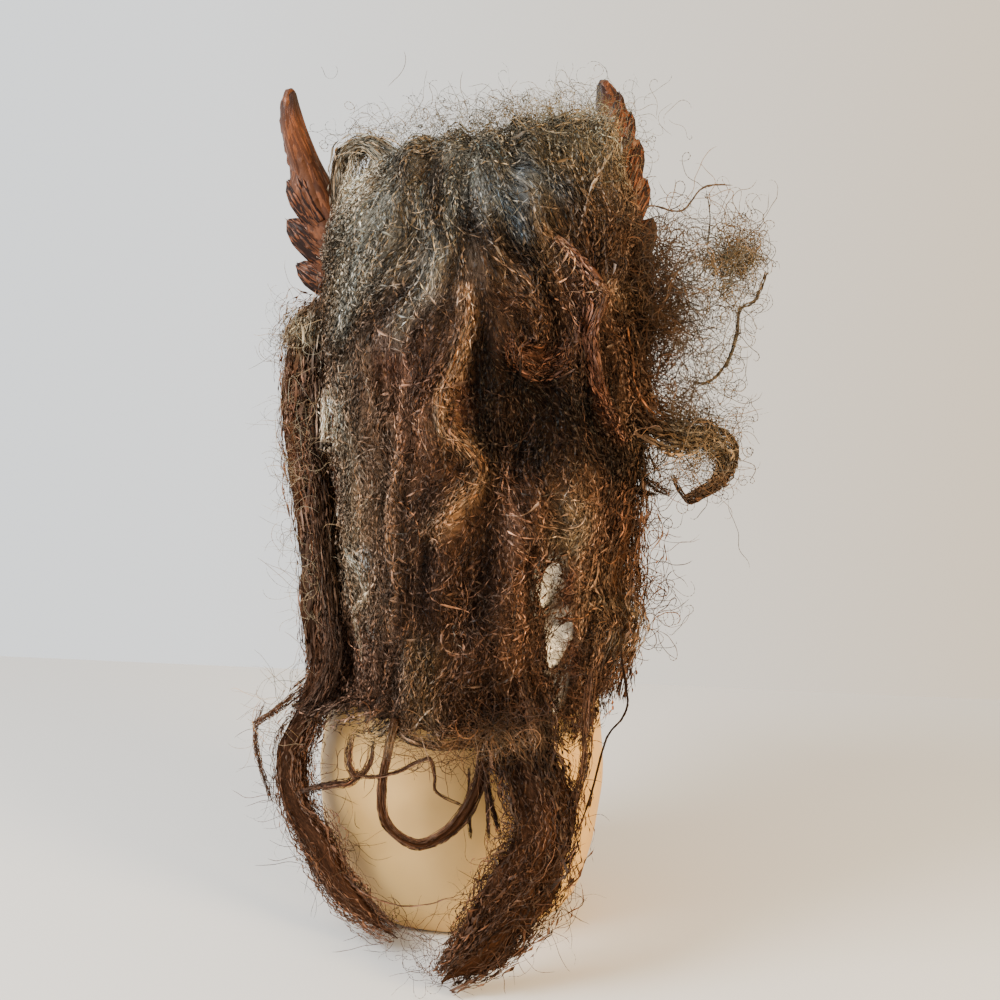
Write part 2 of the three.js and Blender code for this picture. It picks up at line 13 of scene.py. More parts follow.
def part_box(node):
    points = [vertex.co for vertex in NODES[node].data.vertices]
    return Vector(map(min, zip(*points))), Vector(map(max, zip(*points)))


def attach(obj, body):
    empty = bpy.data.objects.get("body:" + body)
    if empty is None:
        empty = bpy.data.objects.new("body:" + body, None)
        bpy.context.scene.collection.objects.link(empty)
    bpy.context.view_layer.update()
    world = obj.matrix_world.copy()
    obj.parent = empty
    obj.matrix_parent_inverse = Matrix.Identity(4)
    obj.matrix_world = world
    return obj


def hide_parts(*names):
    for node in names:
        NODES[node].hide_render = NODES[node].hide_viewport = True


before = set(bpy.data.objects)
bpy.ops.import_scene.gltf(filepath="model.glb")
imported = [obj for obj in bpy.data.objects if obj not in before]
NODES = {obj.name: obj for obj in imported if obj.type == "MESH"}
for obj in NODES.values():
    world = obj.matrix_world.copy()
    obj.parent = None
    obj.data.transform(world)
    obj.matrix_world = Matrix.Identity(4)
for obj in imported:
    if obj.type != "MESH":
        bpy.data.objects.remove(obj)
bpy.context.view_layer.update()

bl_info = {
    "name": "Wolf mask on a display head",
    "version": (1, 0, 0),
    "blender": (4, 5, 0),
    "location": "View3D > Sidebar > Wolf mask",
    "description": "A moulded wolf mask with long crimped hair, worn by a plain display head",
    "category": "Add Mesh",
}

MM = 0.001

SEED = 20
# Every kind of piece draws its random numbers from a row of its own, this far past the seed.
DRAWS = {"curtain": 0, "curtain_mass": 5, "lock_mass": 6, "lock": 10, "stream": 30, "frizz": 60, "wisp": 80}


# Plain helpers for numbers

def draws(kind, order=0):
    """The random numbers of one piece of a kind."""
    return np.random.default_rng(SEED + DRAWS[kind] + order)


def smoothstep(low, high, value):
    """0 below low, 1 above high, and an even rise between them."""
    t = np.clip((value - low) / (high - low), 0.0, 1.0)
    return t * t * (3.0 - 2.0 * t)


def unit(vectors):
    """The same vectors at length one."""
    return vectors / np.maximum(np.linalg.norm(vectors, axis=-1, keepdims=True), 1e-12)


def path_length(track):
    return np.linalg.norm(np.diff(track, axis=0), axis=1).sum()


def full_turn(sides):
    """Even angles once round, in radians."""
    return np.linspace(0, 2 * math.pi, sides, endpoint=False)


def curve_at(stations, t):
    """Values of a smooth curve through the stations, for every t from 0 to 1 in an array."""
    known = np.asarray(stations, float)
    known = np.vstack([2 * known[0] - known[1], known, 2 * known[-1] - known[-2]])
    place = np.clip(t, 0.0, 1.0) * (len(stations) - 1 - 1e-9)
    i = place.astype(int)
    f = (place - i)[..., None]
    a, b, c, d = (known[i + k] for k in range(4))
    return 0.5 * (2 * b + (c - a) * f + (2 * a - 5 * b + 4 * c - d) * f**2 + (3 * b - a - 3 * c + d) * f**3)


PAST_GRID = 1.001  # a place this far below a grid's size is the last that grid_value can read


def grid_value(grid, r, c):
    """Values between the points of a grid, at broken row and column numbers."""
    i = r.astype(int)
    j = c.astype(int)
    f = r - i
    g = c - j
    if grid.ndim > 2:
        f, g = f[..., None], g[..., None]
    return ((grid[i, j] * (1 - g) + grid[i, j + 1] * g) * (1 - f)
            + (grid[i + 1, j] * (1 - g) + grid[i + 1, j + 1] * g) * f)


def wander(rng, shape, waves, s):
    """A smooth random wave along s for each strand: waves is a list of (length, height)."""
    total = np.zeros(shape)
    for length, height in waves:
        phase = rng.uniform(0, 2 * math.pi, (shape[0], 1))
        pace = rng.uniform(0.75, 1.3, (shape[0], 1))
        total += height * np.sin(2 * math.pi * s * pace / length + phase)
    return total


# Plain helpers for meshes

def add_piece(name, mesh, material):
    mesh.materials.clear()
    mesh.materials.append(material)
    piece = bpy.data.objects.new(name, mesh)
    bpy.context.scene.collection.objects.link(piece)
    return piece


def shade_smooth(mesh):
    mesh.polygons.foreach_set("use_smooth", np.ones(len(mesh.polygons), bool))


def mesh_from(name, points, faces):
    """A smooth mesh from an array of points and an array of faces with equal corner counts."""
    mesh = bpy.data.meshes.new(name)
    mesh.vertices.add(len(points))
    mesh.vertices.foreach_set("co", np.ascontiguousarray(points, np.float32).ravel())
    mesh.loops.add(faces.size)
    mesh.loops.foreach_set("vertex_index", np.ascontiguousarray(faces, np.int32).ravel())
    mesh.polygons.add(len(faces))
    starts = np.arange(0, faces.size, faces.shape[1], dtype=np.int32)
    mesh.polygons.foreach_set("loop_start", starts)
    mesh.update(calc_edges=True)
    shade_smooth(mesh)
    return mesh


def loft_mesh(name, rings):
    """A closed smooth mesh over rings of equal point count, with a fan at each end."""
    rows, sides = rings.shape[:2]
    points = [tuple(p) for p in rings.reshape(-1, 3)]
    points += [tuple(rings[0].mean(0)), tuple(rings[-1].mean(0))]
    faces = []
    for r in range(rows - 1):
        for s in range(sides):
            a = r * sides + s
            b = r * sides + (s + 1) % sides
            faces.append((a, b, b + sides, a + sides))
    for s in range(sides):
        n = (s + 1) % sides
        faces.append((rows * sides, n, s))
        last = (rows - 1) * sides
        faces.append((rows * sides + 1, last + s, last + n))
    mesh = bpy.data.meshes.new(name)
    mesh.from_pydata(points, [], faces)
    outward(mesh)
    shade_smooth(mesh)
    return mesh


def outward(mesh):
    """Turns all faces of a closed mesh outward."""
    work = bmesh.new()
    work.from_mesh(mesh)
    bmesh.ops.recalc_face_normals(work, faces=work.faces)
    work.to_mesh(mesh)
    work.free()


def vertex_vectors(mesh, kind):
    values = np.empty(len(mesh.vertices) * 3, np.float32)
    mesh.vertices.foreach_get(kind, values)
    return values.reshape(-1, 3).astype(float)


def positions(mesh):
    return vertex_vectors(mesh, "co")


def normals_of(mesh):
    return vertex_vectors(mesh, "normal")


def set_positions(mesh, points):
    mesh.vertices.foreach_set("co", np.ascontiguousarray(points, np.float32).ravel())
    mesh.update()


def neighbour_mean(mesh, values):
    """For every vertex, the mean of a value over its neighbours."""
    ends = np.empty(len(mesh.edges) * 2, np.int32)
    mesh.edges.foreach_get("vertices", ends)
    a, b = ends.reshape(-1, 2).T
    count = np.bincount(a, minlength=len(values)) + np.bincount(b, minlength=len(values))
    flat = values.reshape(len(values), -1)
    total = np.empty_like(flat)
    for k in range(flat.shape[1]):
        total[:, k] = np.bincount(a, flat[b, k], len(values)) + np.bincount(b, flat[a, k], len(values))
    return (total / np.maximum(count, 1)[:, None]).reshape(values.shape)


def hollows(mesh, steps):
    """How deep each vertex lies below its surroundings, in metres: positive in grooves."""
    points = positions(mesh)
    around = points
    for _ in range(steps):
        around = neighbour_mean(mesh, around)
    return np.einsum("ij,ij->i", around - points, normals_of(mesh))


def put_values(mesh, name, values):
    layer = mesh.attributes.new(name, "FLOAT", "POINT")
    layer.data.foreach_set("value", np.ascontiguousarray(values, np.float32))


def put_colours(mesh, name, colours):
    layer = mesh.color_attributes.new(name, "FLOAT_COLOR", "POINT")
    full = np.ones((len(colours), 4), np.float32)
    full[:, :3] = colours
    layer.data.foreach_set("color", full.ravel())


def with_modifiers(name, mesh, build):
    """A new mesh: the given one after the modifiers that build(object) adds."""
    work = bpy.data.objects.new(name, mesh)
    bpy.context.scene.collection.objects.link(work)
    build(work)
    graph = bpy.context.evaluated_depsgraph_get()
    made = bpy.data.meshes.new_from_object(work.evaluated_get(graph))
    bpy.data.objects.remove(work)
    made.name = name
    return made


def welded_copy(node):
    """A copy of a node's mesh with its split corners joined again."""
    mesh = NODES[node].data.copy()
    work = bmesh.new()
    work.from_mesh(mesh)
    bmesh.ops.remove_doubles(work, verts=work.verts, dist=1e-6)
    work.to_mesh(mesh)
    work.free()
    return mesh


def remeshed(name, mesh, voxel, smoothing):
    """An even, closed mesh of small faces over the given one, with its facets smoothed away."""
    def build(work):
        even = work.modifiers.new("even", "REMESH")
        even.mode = "VOXEL"
        even.voxel_size = voxel
        soft = work.modifiers.new("soft", "SMOOTH")
        soft.factor = 0.5
        soft.iterations = smoothing
    made = with_modifiers(name, mesh, build)
    shade_smooth(made)
    return made


# Finishes

def finish(name, roughness, specular):
    """A new plain material with its tree of nodes and its shader."""
    material = bpy.data.materials.new(name)
    material.use_nodes = True
    shader = material.node_tree.nodes["Principled BSDF"]
    shader.inputs["Roughness"].default_value = roughness
    shader.inputs["Specular IOR Level"].default_value = specular
    return material, material.node_tree, shader


def attribute(tree, name):
    node = tree.nodes.new("ShaderNodeAttribute")
    node.attribute_name = name
    return node


def noise_node(tree, vector, scale, detail):
    node = tree.nodes.new("ShaderNodeTexNoise")
    node.inputs["Scale"].default_value = scale
    node.inputs["Detail"].default_value = detail
    node.inputs["Roughness"].default_value = 0.6
    tree.links.new(vector, node.inputs["Vector"])
    return node


def noise(tree, scale, detail=3.0):
    """Even noise over the object's own coordinates."""
    place = tree.nodes.new("ShaderNodeTexCoord")
    return noise_node(tree, place.outputs["Object"], scale, detail).outputs["Fac"]


def ramp(tree, value, stops):
    """A colour ramp over a value: stops is a list of (place, colour)."""
    node = tree.nodes.new("ShaderNodeValToRGB")
    bar = node.color_ramp
    while len(bar.elements) < len(stops):
        bar.elements.new(0.5)
    for element, (place, colour) in zip(bar.elements, stops):
        element.position = place
        element.color = (*colour, 1.0)
    tree.links.new(value, node.inputs["Fac"])
    return node.outputs["Color"]


def spread(tree, value, low, high, new_low, new_high):
    """A value moved from one range to another, and held at its ends."""
    node = tree.nodes.new("ShaderNodeMapRange")
    node.inputs["From Min"].default_value = low
    node.inputs["From Max"].default_value = high
    node.inputs["To Min"].default_value = new_low
    node.inputs["To Max"].default_value = new_high
    tree.links.new(value, node.inputs["Value"])
    return node.outputs["Result"]


def mixed(tree, way, share, first, second):
    """Two colours mixed: each of share, first and second is a socket or a plain value."""
    node = tree.nodes.new("ShaderNodeMix")
    node.data_type = "RGBA"
    node.blend_type = way
    sockets = [s for s in node.inputs if s.enabled]
    for socket, value in zip(sockets, (share, first, second)):
        if isinstance(value, bpy.types.NodeSocket):
            tree.links.new(value, socket)
        else:
            socket.default_value = value if isinstance(value, float) else (*value, 1.0)
    return [s for s in node.outputs if s.enabled][0]


def total(tree, way, *values):
    """The result of one sum on up to three values: each is a socket or a plain number."""
    node = tree.nodes.new("ShaderNodeMath")
    node.operation = way
    for socket, value in zip(node.inputs, values):
        if isinstance(value, bpy.types.NodeSocket):
            tree.links.new(value, socket)
        else:
            socket.default_value = value
    return node.outputs["Value"]


def bump(tree, shader, height, strength, distance):
    """Fine relief from a height; the distance is in metres."""
    node = tree.nodes.new("ShaderNodeBump")
    node.inputs["Strength"].default_value = strength
    node.inputs["Distance"].default_value = distance
    tree.links.new(height, node.inputs["Height"])
    tree.links.new(node.outputs["Normal"], shader.inputs["Normal"])


def cream_finish(settings):
    """Satin cream foam with faint yellowing and a skin of very fine pits."""
    material, tree, shader = finish("satin_cream", 0.5, 0.4)
    tone = noise(tree, 14.0, 4.0)
    cream = tuple(settings.cream)
    aged = tuple(settings.aged_cream)
    colour = ramp(tree, tone, [(0.3, aged), (0.62, cream)])
    tree.links.new(colour, shader.inputs["Base Color"])
    tree.links.new(spread(tree, noise(tree, 60.0), 0.3, 0.7, 0.42, 0.6), shader.inputs["Roughness"])
    bump(tree, shader, noise(tree, 900.0, 2.0), 0.12, 0.0004)
    return material


def rubber_finish(settings):
    """Painted moulded rubber: red-brown with dark slits along its fur and a thin semi-gloss coat."""
    material, tree, shader = finish("painted_rubber", 0.48, 0.14)
    paint = attribute(tree, "paint").outputs["Color"]
    mottle = ramp(tree, noise(tree, 90.0, 5.0), [(0.3, (0.55, 0.5, 0.48)), (0.5, (1.0, 1.0, 1.0)),
                                                 (0.72, (1.45, 1.38, 1.3))])
    varied = mixed(tree, "MULTIPLY", 0.8, paint, mottle)
    furred = attribute(tree, "slit").outputs["Fac"]
    streaks = ramp(tree, lane_noise(tree, 1.5, 12.0, 2.0),
                   [(0.35, (0.5, 0.48, 0.47)), (0.6, (1.25, 1.2, 1.15))])
    varied = mixed(tree, "MULTIPLY", furred, varied, streaks)
    slits = spread(tree, lane_noise(tree, 1.1, 9.0, 1.0), 0.545, 0.495, 0.0, 1.0)
    carved = total(tree, "MULTIPLY", slits, furred)
    groove = attribute(tree, "groove").outputs["Fac"]
    tint_share = total(tree, "MULTIPLY_ADD", noise(tree, 420.0, 3.0), 0.35, groove)
    share = total(tree, "MAXIMUM", carved, spread(tree, tint_share, 0.35, 0.8, 0.0, 1.0))
    washed = mixed(tree, "MIX", share, varied, tuple(settings.wash))
    tree.links.new(washed, shader.inputs["Base Color"])
    tree.links.new(spread(tree, share, 0.0, 1.0, 0.38, 0.65), shader.inputs["Roughness"])
    shader.inputs["Specular Tint"].default_value = (1.0, 0.75, 0.6, 1.0)
    shader.inputs["Coat Weight"].default_value = 0.03
    shader.inputs["Coat Roughness"].default_value = 0.2
    height = total(tree, "MULTIPLY_ADD", share, -1.0, total(tree, "MULTIPLY", noise(tree, 700.0, 4.0), 0.4))
    bump(tree, shader, height, 0.5, 0.0006)
    return material


def strap_finish():
    """Matt woven elastic cord with fine slanting ribs."""
    material, tree, shader = finish("woven_elastic", 0.85, 0.2)
    place = tree.nodes.new("ShaderNodeTexCoord")
    weave = tree.nodes.new("ShaderNodeTexWave")
    weave.bands_direction = "DIAGONAL"
    weave.inputs["Scale"].default_value = 420.0
    weave.inputs["Distortion"].default_value = 1.5
    tree.links.new(place.outputs["Object"], weave.inputs["Vector"])
    colour = ramp(tree, weave.outputs["Fac"], [(0.2, (0.008, 0.008, 0.009)), (0.8, (0.05, 0.048, 0.047))])
    tree.links.new(colour, shader.inputs["Base Color"])
    bump(tree, shader, weave.outputs["Fac"], 0.6, 0.0003)
    return material


def fibre_finish():
    """Crimped glossy fibre: each strand has its own tone, broken into short painted glints."""
    material, tree, shader = finish("crimped_fibre", 0.45, 0.07)
    shader.inputs["Specular Tint"].default_value = (1.0, 0.88, 0.76, 1.0)
    tone = attribute(tree, "fibre").outputs["Color"]
    fine = ramp(tree, noise(tree, 500.0, 2.0), [(0.3, (0.8, 0.79, 0.78)), (0.7, (1.2, 1.19, 1.18))])
    tree.links.new(mixed(tree, "MULTIPLY", 1.0, tone, fine), shader.inputs["Base Color"])
    tree.links.new(spread(tree, noise(tree, 300.0), 0.3, 0.7, 0.3, 0.55), shader.inputs["Roughness"])
    return material


def lane_noise(tree, across, along, detail):
    """Noise in long thin streaks that follow the hair's flow; sizes are in mm."""
    join = tree.nodes.new("ShaderNodeCombineXYZ")
    for name, size, socket in (("lane", across, "X"), ("run", along, "Y")):
        scaled = total(tree, "MULTIPLY", attribute(tree, name).outputs["Fac"], 1.0 / size)
        tree.links.new(scaled, join.inputs[socket])
    node = noise_node(tree, join.outputs["Vector"], 1.0, detail)
    node.inputs["Distortion"].default_value = 0.4
    return node.outputs["Fac"]


def mass_finish():
    """The tangle under the visible strands: fine streaks of fibre lighter and darker than the local tone,
    painted glints on the fibres and painted shade between them and between the locks.
    """
    material, tree, shader = finish("tangled_mass", 0.8, 0.02)
    tone = attribute(tree, "fibre").outputs["Color"]
    threads = lane_noise(tree, 0.7, 3.5, 3.0)
    locks = lane_noise(tree, 4.0, 22.0, 2.0)
    shade = ramp(tree, threads,
                 [(0.36, (0.42, 0.41, 0.40)), (0.54, (0.72, 0.71, 0.70)), (0.70, (1.4, 1.35, 1.3))])
    deep = ramp(tree, locks, [(0.35, (0.62, 0.61, 0.60)), (0.65, (1.1, 1.09, 1.07))])
    colour = mixed(tree, "MULTIPLY", 1.0, mixed(tree, "MULTIPLY", 1.0, tone, shade), deep)
    tree.links.new(colour, shader.inputs["Base Color"])
    bump(tree, shader, threads, 0.5, 0.0008)
    return material


# Hair: tones

TONES = {
    # dark: painted shade in the hollows of the hair and the troughs between locks
    "dark": (0.0065, 0.0036, 0.0024),
    "umber": (0.025, 0.0132, 0.0082),
    "brown": (0.050, 0.0230, 0.0125),
    "red": (0.085, 0.0330, 0.0185),
    # gold: a painted warm highlight
    "gold_highlight": (0.360, 0.185, 0.088),
    "olive": (0.055, 0.0440, 0.0290),
    # silver: grey hair with painted highlights
    "silver_sheen": (0.135, 0.120, 0.092),
    # blue: a painted reflection of cool light
    "cool_sheen": (0.095, 0.105, 0.108),
    "khaki": (0.150, 0.112, 0.064),
    "tan": (0.160, 0.090, 0.049),
    # cream: painted light where light comes through thin hair
    "cream": (0.480, 0.370, 0.240),
}

# Patches of tone: [tone, x, z, reach in x, reach in z, strength], in mm, painted in this order.
# The dark patches are painted shade in hollows of the hair.
TONE_PATCHES = [
    ["olive", 10, 385, 110, 55, 1.0], ["khaki", -45, 410, 60, 14, 0.8], ["khaki", 20, 400, 60, 8, 0.5],
    ["tan", -56, 366, 16, 18, 0.5], ["silver_sheen", 44, 340, 24, 36, 0.65], ["silver_sheen", 16, 386, 9, 12, 0.4],
    ["cool_sheen", -10, 362, 12, 12, 0.7], ["umber", 26, 372, 8, 18, 0.6], ["umber", -4, 346, 10, 10, 0.5],
    ["khaki", 62, 320, 14, 36, 0.5], ["khaki", 60, 250, 12, 45, 0.25], ["khaki", 56, 190, 12, 26, 0.35],
    ["brown", -62, 345, 22, 26, 0.8], ["umber", 26, 286, 22, 24, 0.4], ["red", 36, 284, 16, 26, 0.6],
    ["umber", -9, 300, 18, 28, 0.8], ["umber", -62, 300, 16, 26, 0.8], ["dark", -34, 290, 26, 22, 0.7],
    ["dark", -40, 267, 30, 20, 0.95], ["dark", -8, 258, 9, 28, 0.7], ["red", -46, 322, 8, 22, 0.5],
    ["red", -52, 216, 22, 16, 0.45], ["khaki", -43, 213, 8, 7, 0.35], ["tan", 44, 217, 16, 22, 0.35],
    ["umber", 0, 165, 24, 40, 0.35], ["dark", -12, 140, 12, 14, 0.35], ["tan", 28, 140, 24, 18, 0.1],
    ["khaki", 34, 112, 18, 5, 0.5], ["tan", -64, 172, 18, 26, 0.25], ["cream", 61, 370, 9, 15, 0.7],
    ["khaki", -46, 396, 28, 22, 0.7], ["brown", 92, 245, 16, 50, 0.8], ["olive", 92, 296, 16, 10, 0.8],
    ["khaki", 91, 298, 9, 9, 0.8], ["cream", 70, 256, 6, 12, 0.8], ["umber", 78, 190, 12, 60, 0.35],
    ["umber", 84, 70, 30, 60, 0.4], ["umber", -30, 100, 26, 30, 0.9], ["dark", -22, 108, 16, 12, 0.7],
    ["umber", -35, 30, 30, 50, 0.6], ["olive", -120, 305, 36, 60, 0.9],
    ["umber", -84, 306, 14, 36, 0.95], ["khaki", -122, 340, 22, 22, 0.3],
    ["khaki", -106, 250, 26, 14, 0.4],
]

# Locks that show in the curtain: [tone, strength, half width, height, [x, z] points], in mm.
# The dark locks lie sunk and are painted shade in the troughs between locks; the silver, blue and gold ones
# carry painted highlights and reflections.
CURTAIN_LOCKS = [
    ["silver_sheen", 0.7, 6, 2, [[43, 362], [51, 345], [57, 330], [61, 314], [64, 299]]],
    ["silver_sheen", 0.55, 5, 1.5, [[16, 344], [20, 332], [23, 321], [29, 313], [34, 304], [37, 295]]],
    ["silver_sheen", 0.5, 3, 1, [[29, 365], [25, 353], [21, 342]]],
    ["silver_sheen", 0.6, 3, 1, [[15, 370], [13, 358], [14, 349]]],
    ["silver_sheen", 0.45, 3, 1, [[3, 377], [-2, 363], [-2, 352]]],
    ["cool_sheen", 0.7, 4, 1, [[-8, 364], [-14, 355], [-19, 346]]],
    ["cool_sheen", 0.6, 5, 1, [[-20, 377], [-28, 373], [-36, 367]]],
    ["dark", 0.6, 4, -1, [[39, 379], [37, 360], [37, 344], [43, 332]]],
    ["dark", 0.75, 4, -1.5, [[20, 377], [20, 365], [20, 353], [17, 344]]],
    ["dark", 0.6, 8, -2, [[1, 351], [-9, 341], [-18, 336]]],
    ["umber", 0.8, 5, -1.5, [[34, 320], [43, 311], [53, 301], [60, 290]]],
    ["umber", 0.7, 4, -1, [[25, 309], [29, 297], [26, 286]]],
    ["gold_highlight", 0.6, 2.6, 1.8, [[5, 320], [3, 311], [3, 303], [5, 295], [7, 287], [11, 279], [13, 271],
        [14, 262], [11, 254]]],
    ["gold_highlight", 0.55, 5, 2, [[4, 254], [-3, 249], [-5, 241], [-1, 233], [5, 226], [10, 219], [16, 212]]],
    ["tan", 0.5, 3, 1, [[51, 294], [49, 282], [46, 269], [42, 250]]],
    ["red", 0.6, 3, 1, [[39, 297], [36, 282], [32, 265], [30, 247]]],
    ["red", 0.5, 5, 1, [[8, 279], [5, 268], [7, 257]]],
    ["tan", 0.35, 10, 0, [[36, 270], [38, 246], [40, 223], [38, 195], [39, 165]]],
    ["khaki", 0.2, 7, 0, [[58, 249], [56, 230], [54, 211], [55, 191], [50, 173]]],
    ["dark", 0.75, 6, -2, [[-7, 317], [-5, 299], [-5, 277], [-7, 255], [-10, 228], [-10, 200],
        [-7, 172]]],
    ["dark", 0.9, 16, -3, [[-23, 280], [-39, 280], [-53, 273]]],
    ["dark", 0.85, 14, -2, [[-13, 253], [-36, 249], [-60, 246], [-75, 241]]],
    ["dark", 0.5, 4, -1, [[16, 212], [19, 197], [22, 178], [24, 159]]],
    ["umber", 0.7, 7, -1, [[26, 225], [26, 196], [27, 168], [30, 138], [32, 118]]],
    ["khaki", 0.3, 7, 1, [[18, 155], [19, 140], [16, 124]]],
    ["dark", 0.6, 8, -1.5, [[-18, 144], [-16, 132], [-19, 120]]],
    ["brown", 0.6, 5, 1.5, [[-13, 317], [-22, 315], [-29, 308], [-29, 299], [-22, 294], [-15, 295]]],
    ["red", 0.55, 4, 1.5, [[-24, 296], [-32, 293], [-39, 296]]],
    ["tan", 0.55, 3, 2.5, [[-30, 348], [-37, 342], [-42, 334], [-48, 328], [-55, 323]]],
    ["red", 0.7, 3, 2, [[-51, 307], [-53, 297], [-55, 286], [-58, 275], [-63, 265], [-69, 256]]],
    ["umber", 0.8, 8, -1, [[-37, 318], [-43, 301], [-46, 287]]],
    ["umber", 0.7, 8, -1, [[-59, 336], [-66, 328], [-73, 321]]],
    ["tan", 0.25, 6, 2, [[-58, 323], [-71, 320], [-82, 314], [-91, 305]]],
    ["brown", 0.7, 7, 1.5, [[-62, 306], [-68, 292], [-74, 278], [-84, 267]]],
    ["brown", 0.4, 9, 0, [[-16, 228], [-24, 200], [-27, 172], [-32, 144]]],
    ["tan", 0.15, 12, 1, [[-46, 232], [-51, 209], [-58, 185], [-60, 161]]],
    ["khaki", 0.4, 7, 1.5, [[-46, 225], [-51, 218], [-48, 209]]],
    ["red", 0.8, 2.4, 2, [[-48, 194], [-47, 181], [-48, 167], [-52, 152], [-54, 137]]],
    ["khaki", 0.3, 5, 2, [[-64, 179], [-74, 178], [-84, 171], [-87, 161], [-82, 156], [-72, 159]]],
    ["brown", 0.8, 3, 2, [[-61, 182], [-76, 181], [-88, 172], [-90, 160], [-84, 154], [-74, 154]]],
    ["tan", 0.45, 6, 1.5, [[28, 112], [9, 112], [-14, 114], [-35, 118]]],
    ["umber", 0.8, 5, 2, [[-39, 134], [-43, 119], [-42, 106], [-37, 100]]],
]

# Gaps where strands part and the mass under them is painted pale, as painted light for the lit head behind:
# [x, z, reach in x, reach in z], in mm.
GAPS = [[-38, 188, 6, 12], [-45, 158, 5.5, 13], [51, 190, 3.5, 6], [46, 158, 3.5, 6], [-50, 129, 5.5, 13]]
# Painted light: the pale tone of the mass in the gaps, in place of the lit head.
LIT_GAP_TONE = (1.0, 0.95, 0.86)

# The canvas of tones: its lower corner in x and z, its step in mm, and its steps each way.
CANVAS_START = np.array([-145.0, -5.0])
CANVAS_STEP = 2.0
CANVAS_SIZE = (134, 216)
CROWN_HEIGHT = 350  # patches of tone from this height up colour the face side too


def off_route(route, places):
    """The distance of places from a smooth path, and the heading of the path nearest to each."""
    track = curve_at(route, np.linspace(0, 1, 7 * len(route)))
    gap = np.linalg.norm(places[..., None, :] - track, axis=-1)
    return gap.min(-1), np.gradient(track, axis=0)[gap.argmin(-1)]


@functools.lru_cache
def painted_tones():
    """Tones over a grid of [x, z] points: those of the back, and those of the face side.

    The face side has only the patches of the crown.
    """
    axes = (start + CANVAS_STEP * np.arange(size) for start, size in zip(CANVAS_START, CANVAS_SIZE))
    x, z = np.meshgrid(*axes, indexing="ij")
    back = np.empty((*CANVAS_SIZE, 3))
    back[...] = TONES["brown"]
    front = back.copy()
    for name, px, pz, rx, rz, strength in TONE_PATCHES:
        share = strength * np.exp(-((x - px) / rx) ** 2 - ((z - pz) / rz) ** 2)[..., None]
        back += share * (np.array(TONES[name]) - back)
        if pz >= CROWN_HEIGHT:
            front += share * (np.array(TONES[name]) - front)
    for name, strength, width, _, route in CURTAIN_LOCKS:
        gap = off_route(route, np.stack([x, z], -1))[0]
        share = strength * np.exp(-(gap / width) ** 2)[..., None]
        back += share * (np.array(TONES[name]) - back)
    return back, front


def tone_at(places, rng, vary=0.35, tint=None):
    """Colours for an array [strand, step, xyz] in metres, each strand with a brightness of its own.

    A tint is the name of a tone that the whole piece leans toward.
    """
    at = np.clip((places[..., ::2] / MM - CANVAS_START) / CANVAS_STEP, 0, np.array(CANVAS_SIZE) - PAST_GRID)
    back, front = (grid_value(tones, at[..., 0], at[..., 1]) for tones in painted_tones())
    colour = front + smoothstep(-30.0, 20.0, places[..., 1] / MM)[..., None] * (back - front)
    if tint:
        colour += 0.5 * (np.array(TONES[tint]) - colour)
    count = len(places)
    level = np.exp(rng.normal(0.0, vary, (count, 1, 1)))
    # Painted glints: about one strand in eight is made 1.9 times brighter.
    level = np.where(rng.random((count, 1, 1)) < 0.12, level * 1.9, level)
    warmth = rng.normal(0.0, 0.12, (count, 1))
    cast = np.stack([1.0 + warmth, np.ones_like(warmth), 1.0 - warmth], -1)
    return colour * level * cast


# Hair: strands as narrow ribbons of triangles

FREE_FACING = np.array([0.0, 1.0, 0.15])
HEAD_MIDDLE = np.array([0.0, 0.0, 0.22])
LEAST_HEIGHT = 0.4 * MM  # no strand lies nearer the floor
TONE_RANGE = (0.003, 0.85)
WARM_GLINT = np.array([1.12, 1.0, 0.9])


def ribbon_mesh(name, strands, tones, width, rng, free=True):
    """Zigzag ribbons along strands [strand, step, xyz], each rolled a little at random.

    Free ones face the back of the head, and the others away from its middle.
    """
    count, steps = strands.shape[:2]
    along = unit(np.gradient(strands, axis=1))
    away = FREE_FACING if free else unit(strands - HEAD_MIDDLE)
    side = unit(np.cross(along, away))
    lift = np.cross(side, along)
    sway = wander(rng, (count, steps), [(24, 0.15 if free else 0.45)], np.arange(steps)[None, :])
    roll = rng.normal(0.0, 0.7 if free else 0.5, (count, 1)) + sway
    side = side * np.cos(roll)[..., None] + lift * np.sin(roll)[..., None]
    ends = np.minimum(np.linspace(0, 1, steps), np.linspace(1, 0, steps)) / 0.16
    shape = 0.3 + 0.7 * np.clip(ends, 0, 1)
    half = 0.5 * width * shape[None, :] * rng.uniform(0.7, 1.3, (count, 1))
    turn = np.where(np.arange(steps) % 2, 1.0, -1.0)[None, :]
    points = strands + side * (half * turn)[..., None]
    first = np.arange(count)[:, None] * steps + np.arange(steps - 2)[None, :]
    odd = (np.arange(steps - 2) % 2)[None, :]
    faces = np.stack([first, first + 1 + odd, first + 2 - odd], -1).reshape(-1, 3)
    mesh = mesh_from(name, points.reshape(-1, 3), faces)
    put_colours(mesh, "fibre", np.clip(tones, *TONE_RANGE).reshape(-1, 3))
    lay_out_ribbons(mesh, faces, count, steps)
    return mesh


def lay_out_ribbons(mesh, faces, count, steps):
    """A flat layout in which every ribbon has a small cell of its own."""
    columns = 16
    rows = math.ceil(count / columns)
    strand = faces // steps
    step = faces % steps
    u = (strand % columns + 0.04 + 0.92 * step / (steps - 1)) / columns
    v = (strand // columns + 0.2 + 0.6 * (step % 2)) / rows
    layer = mesh.uv_layers.new(name="OFBake")
    layer.data.foreach_set("uv", np.stack([u, v], -1).astype(np.float32).ravel())


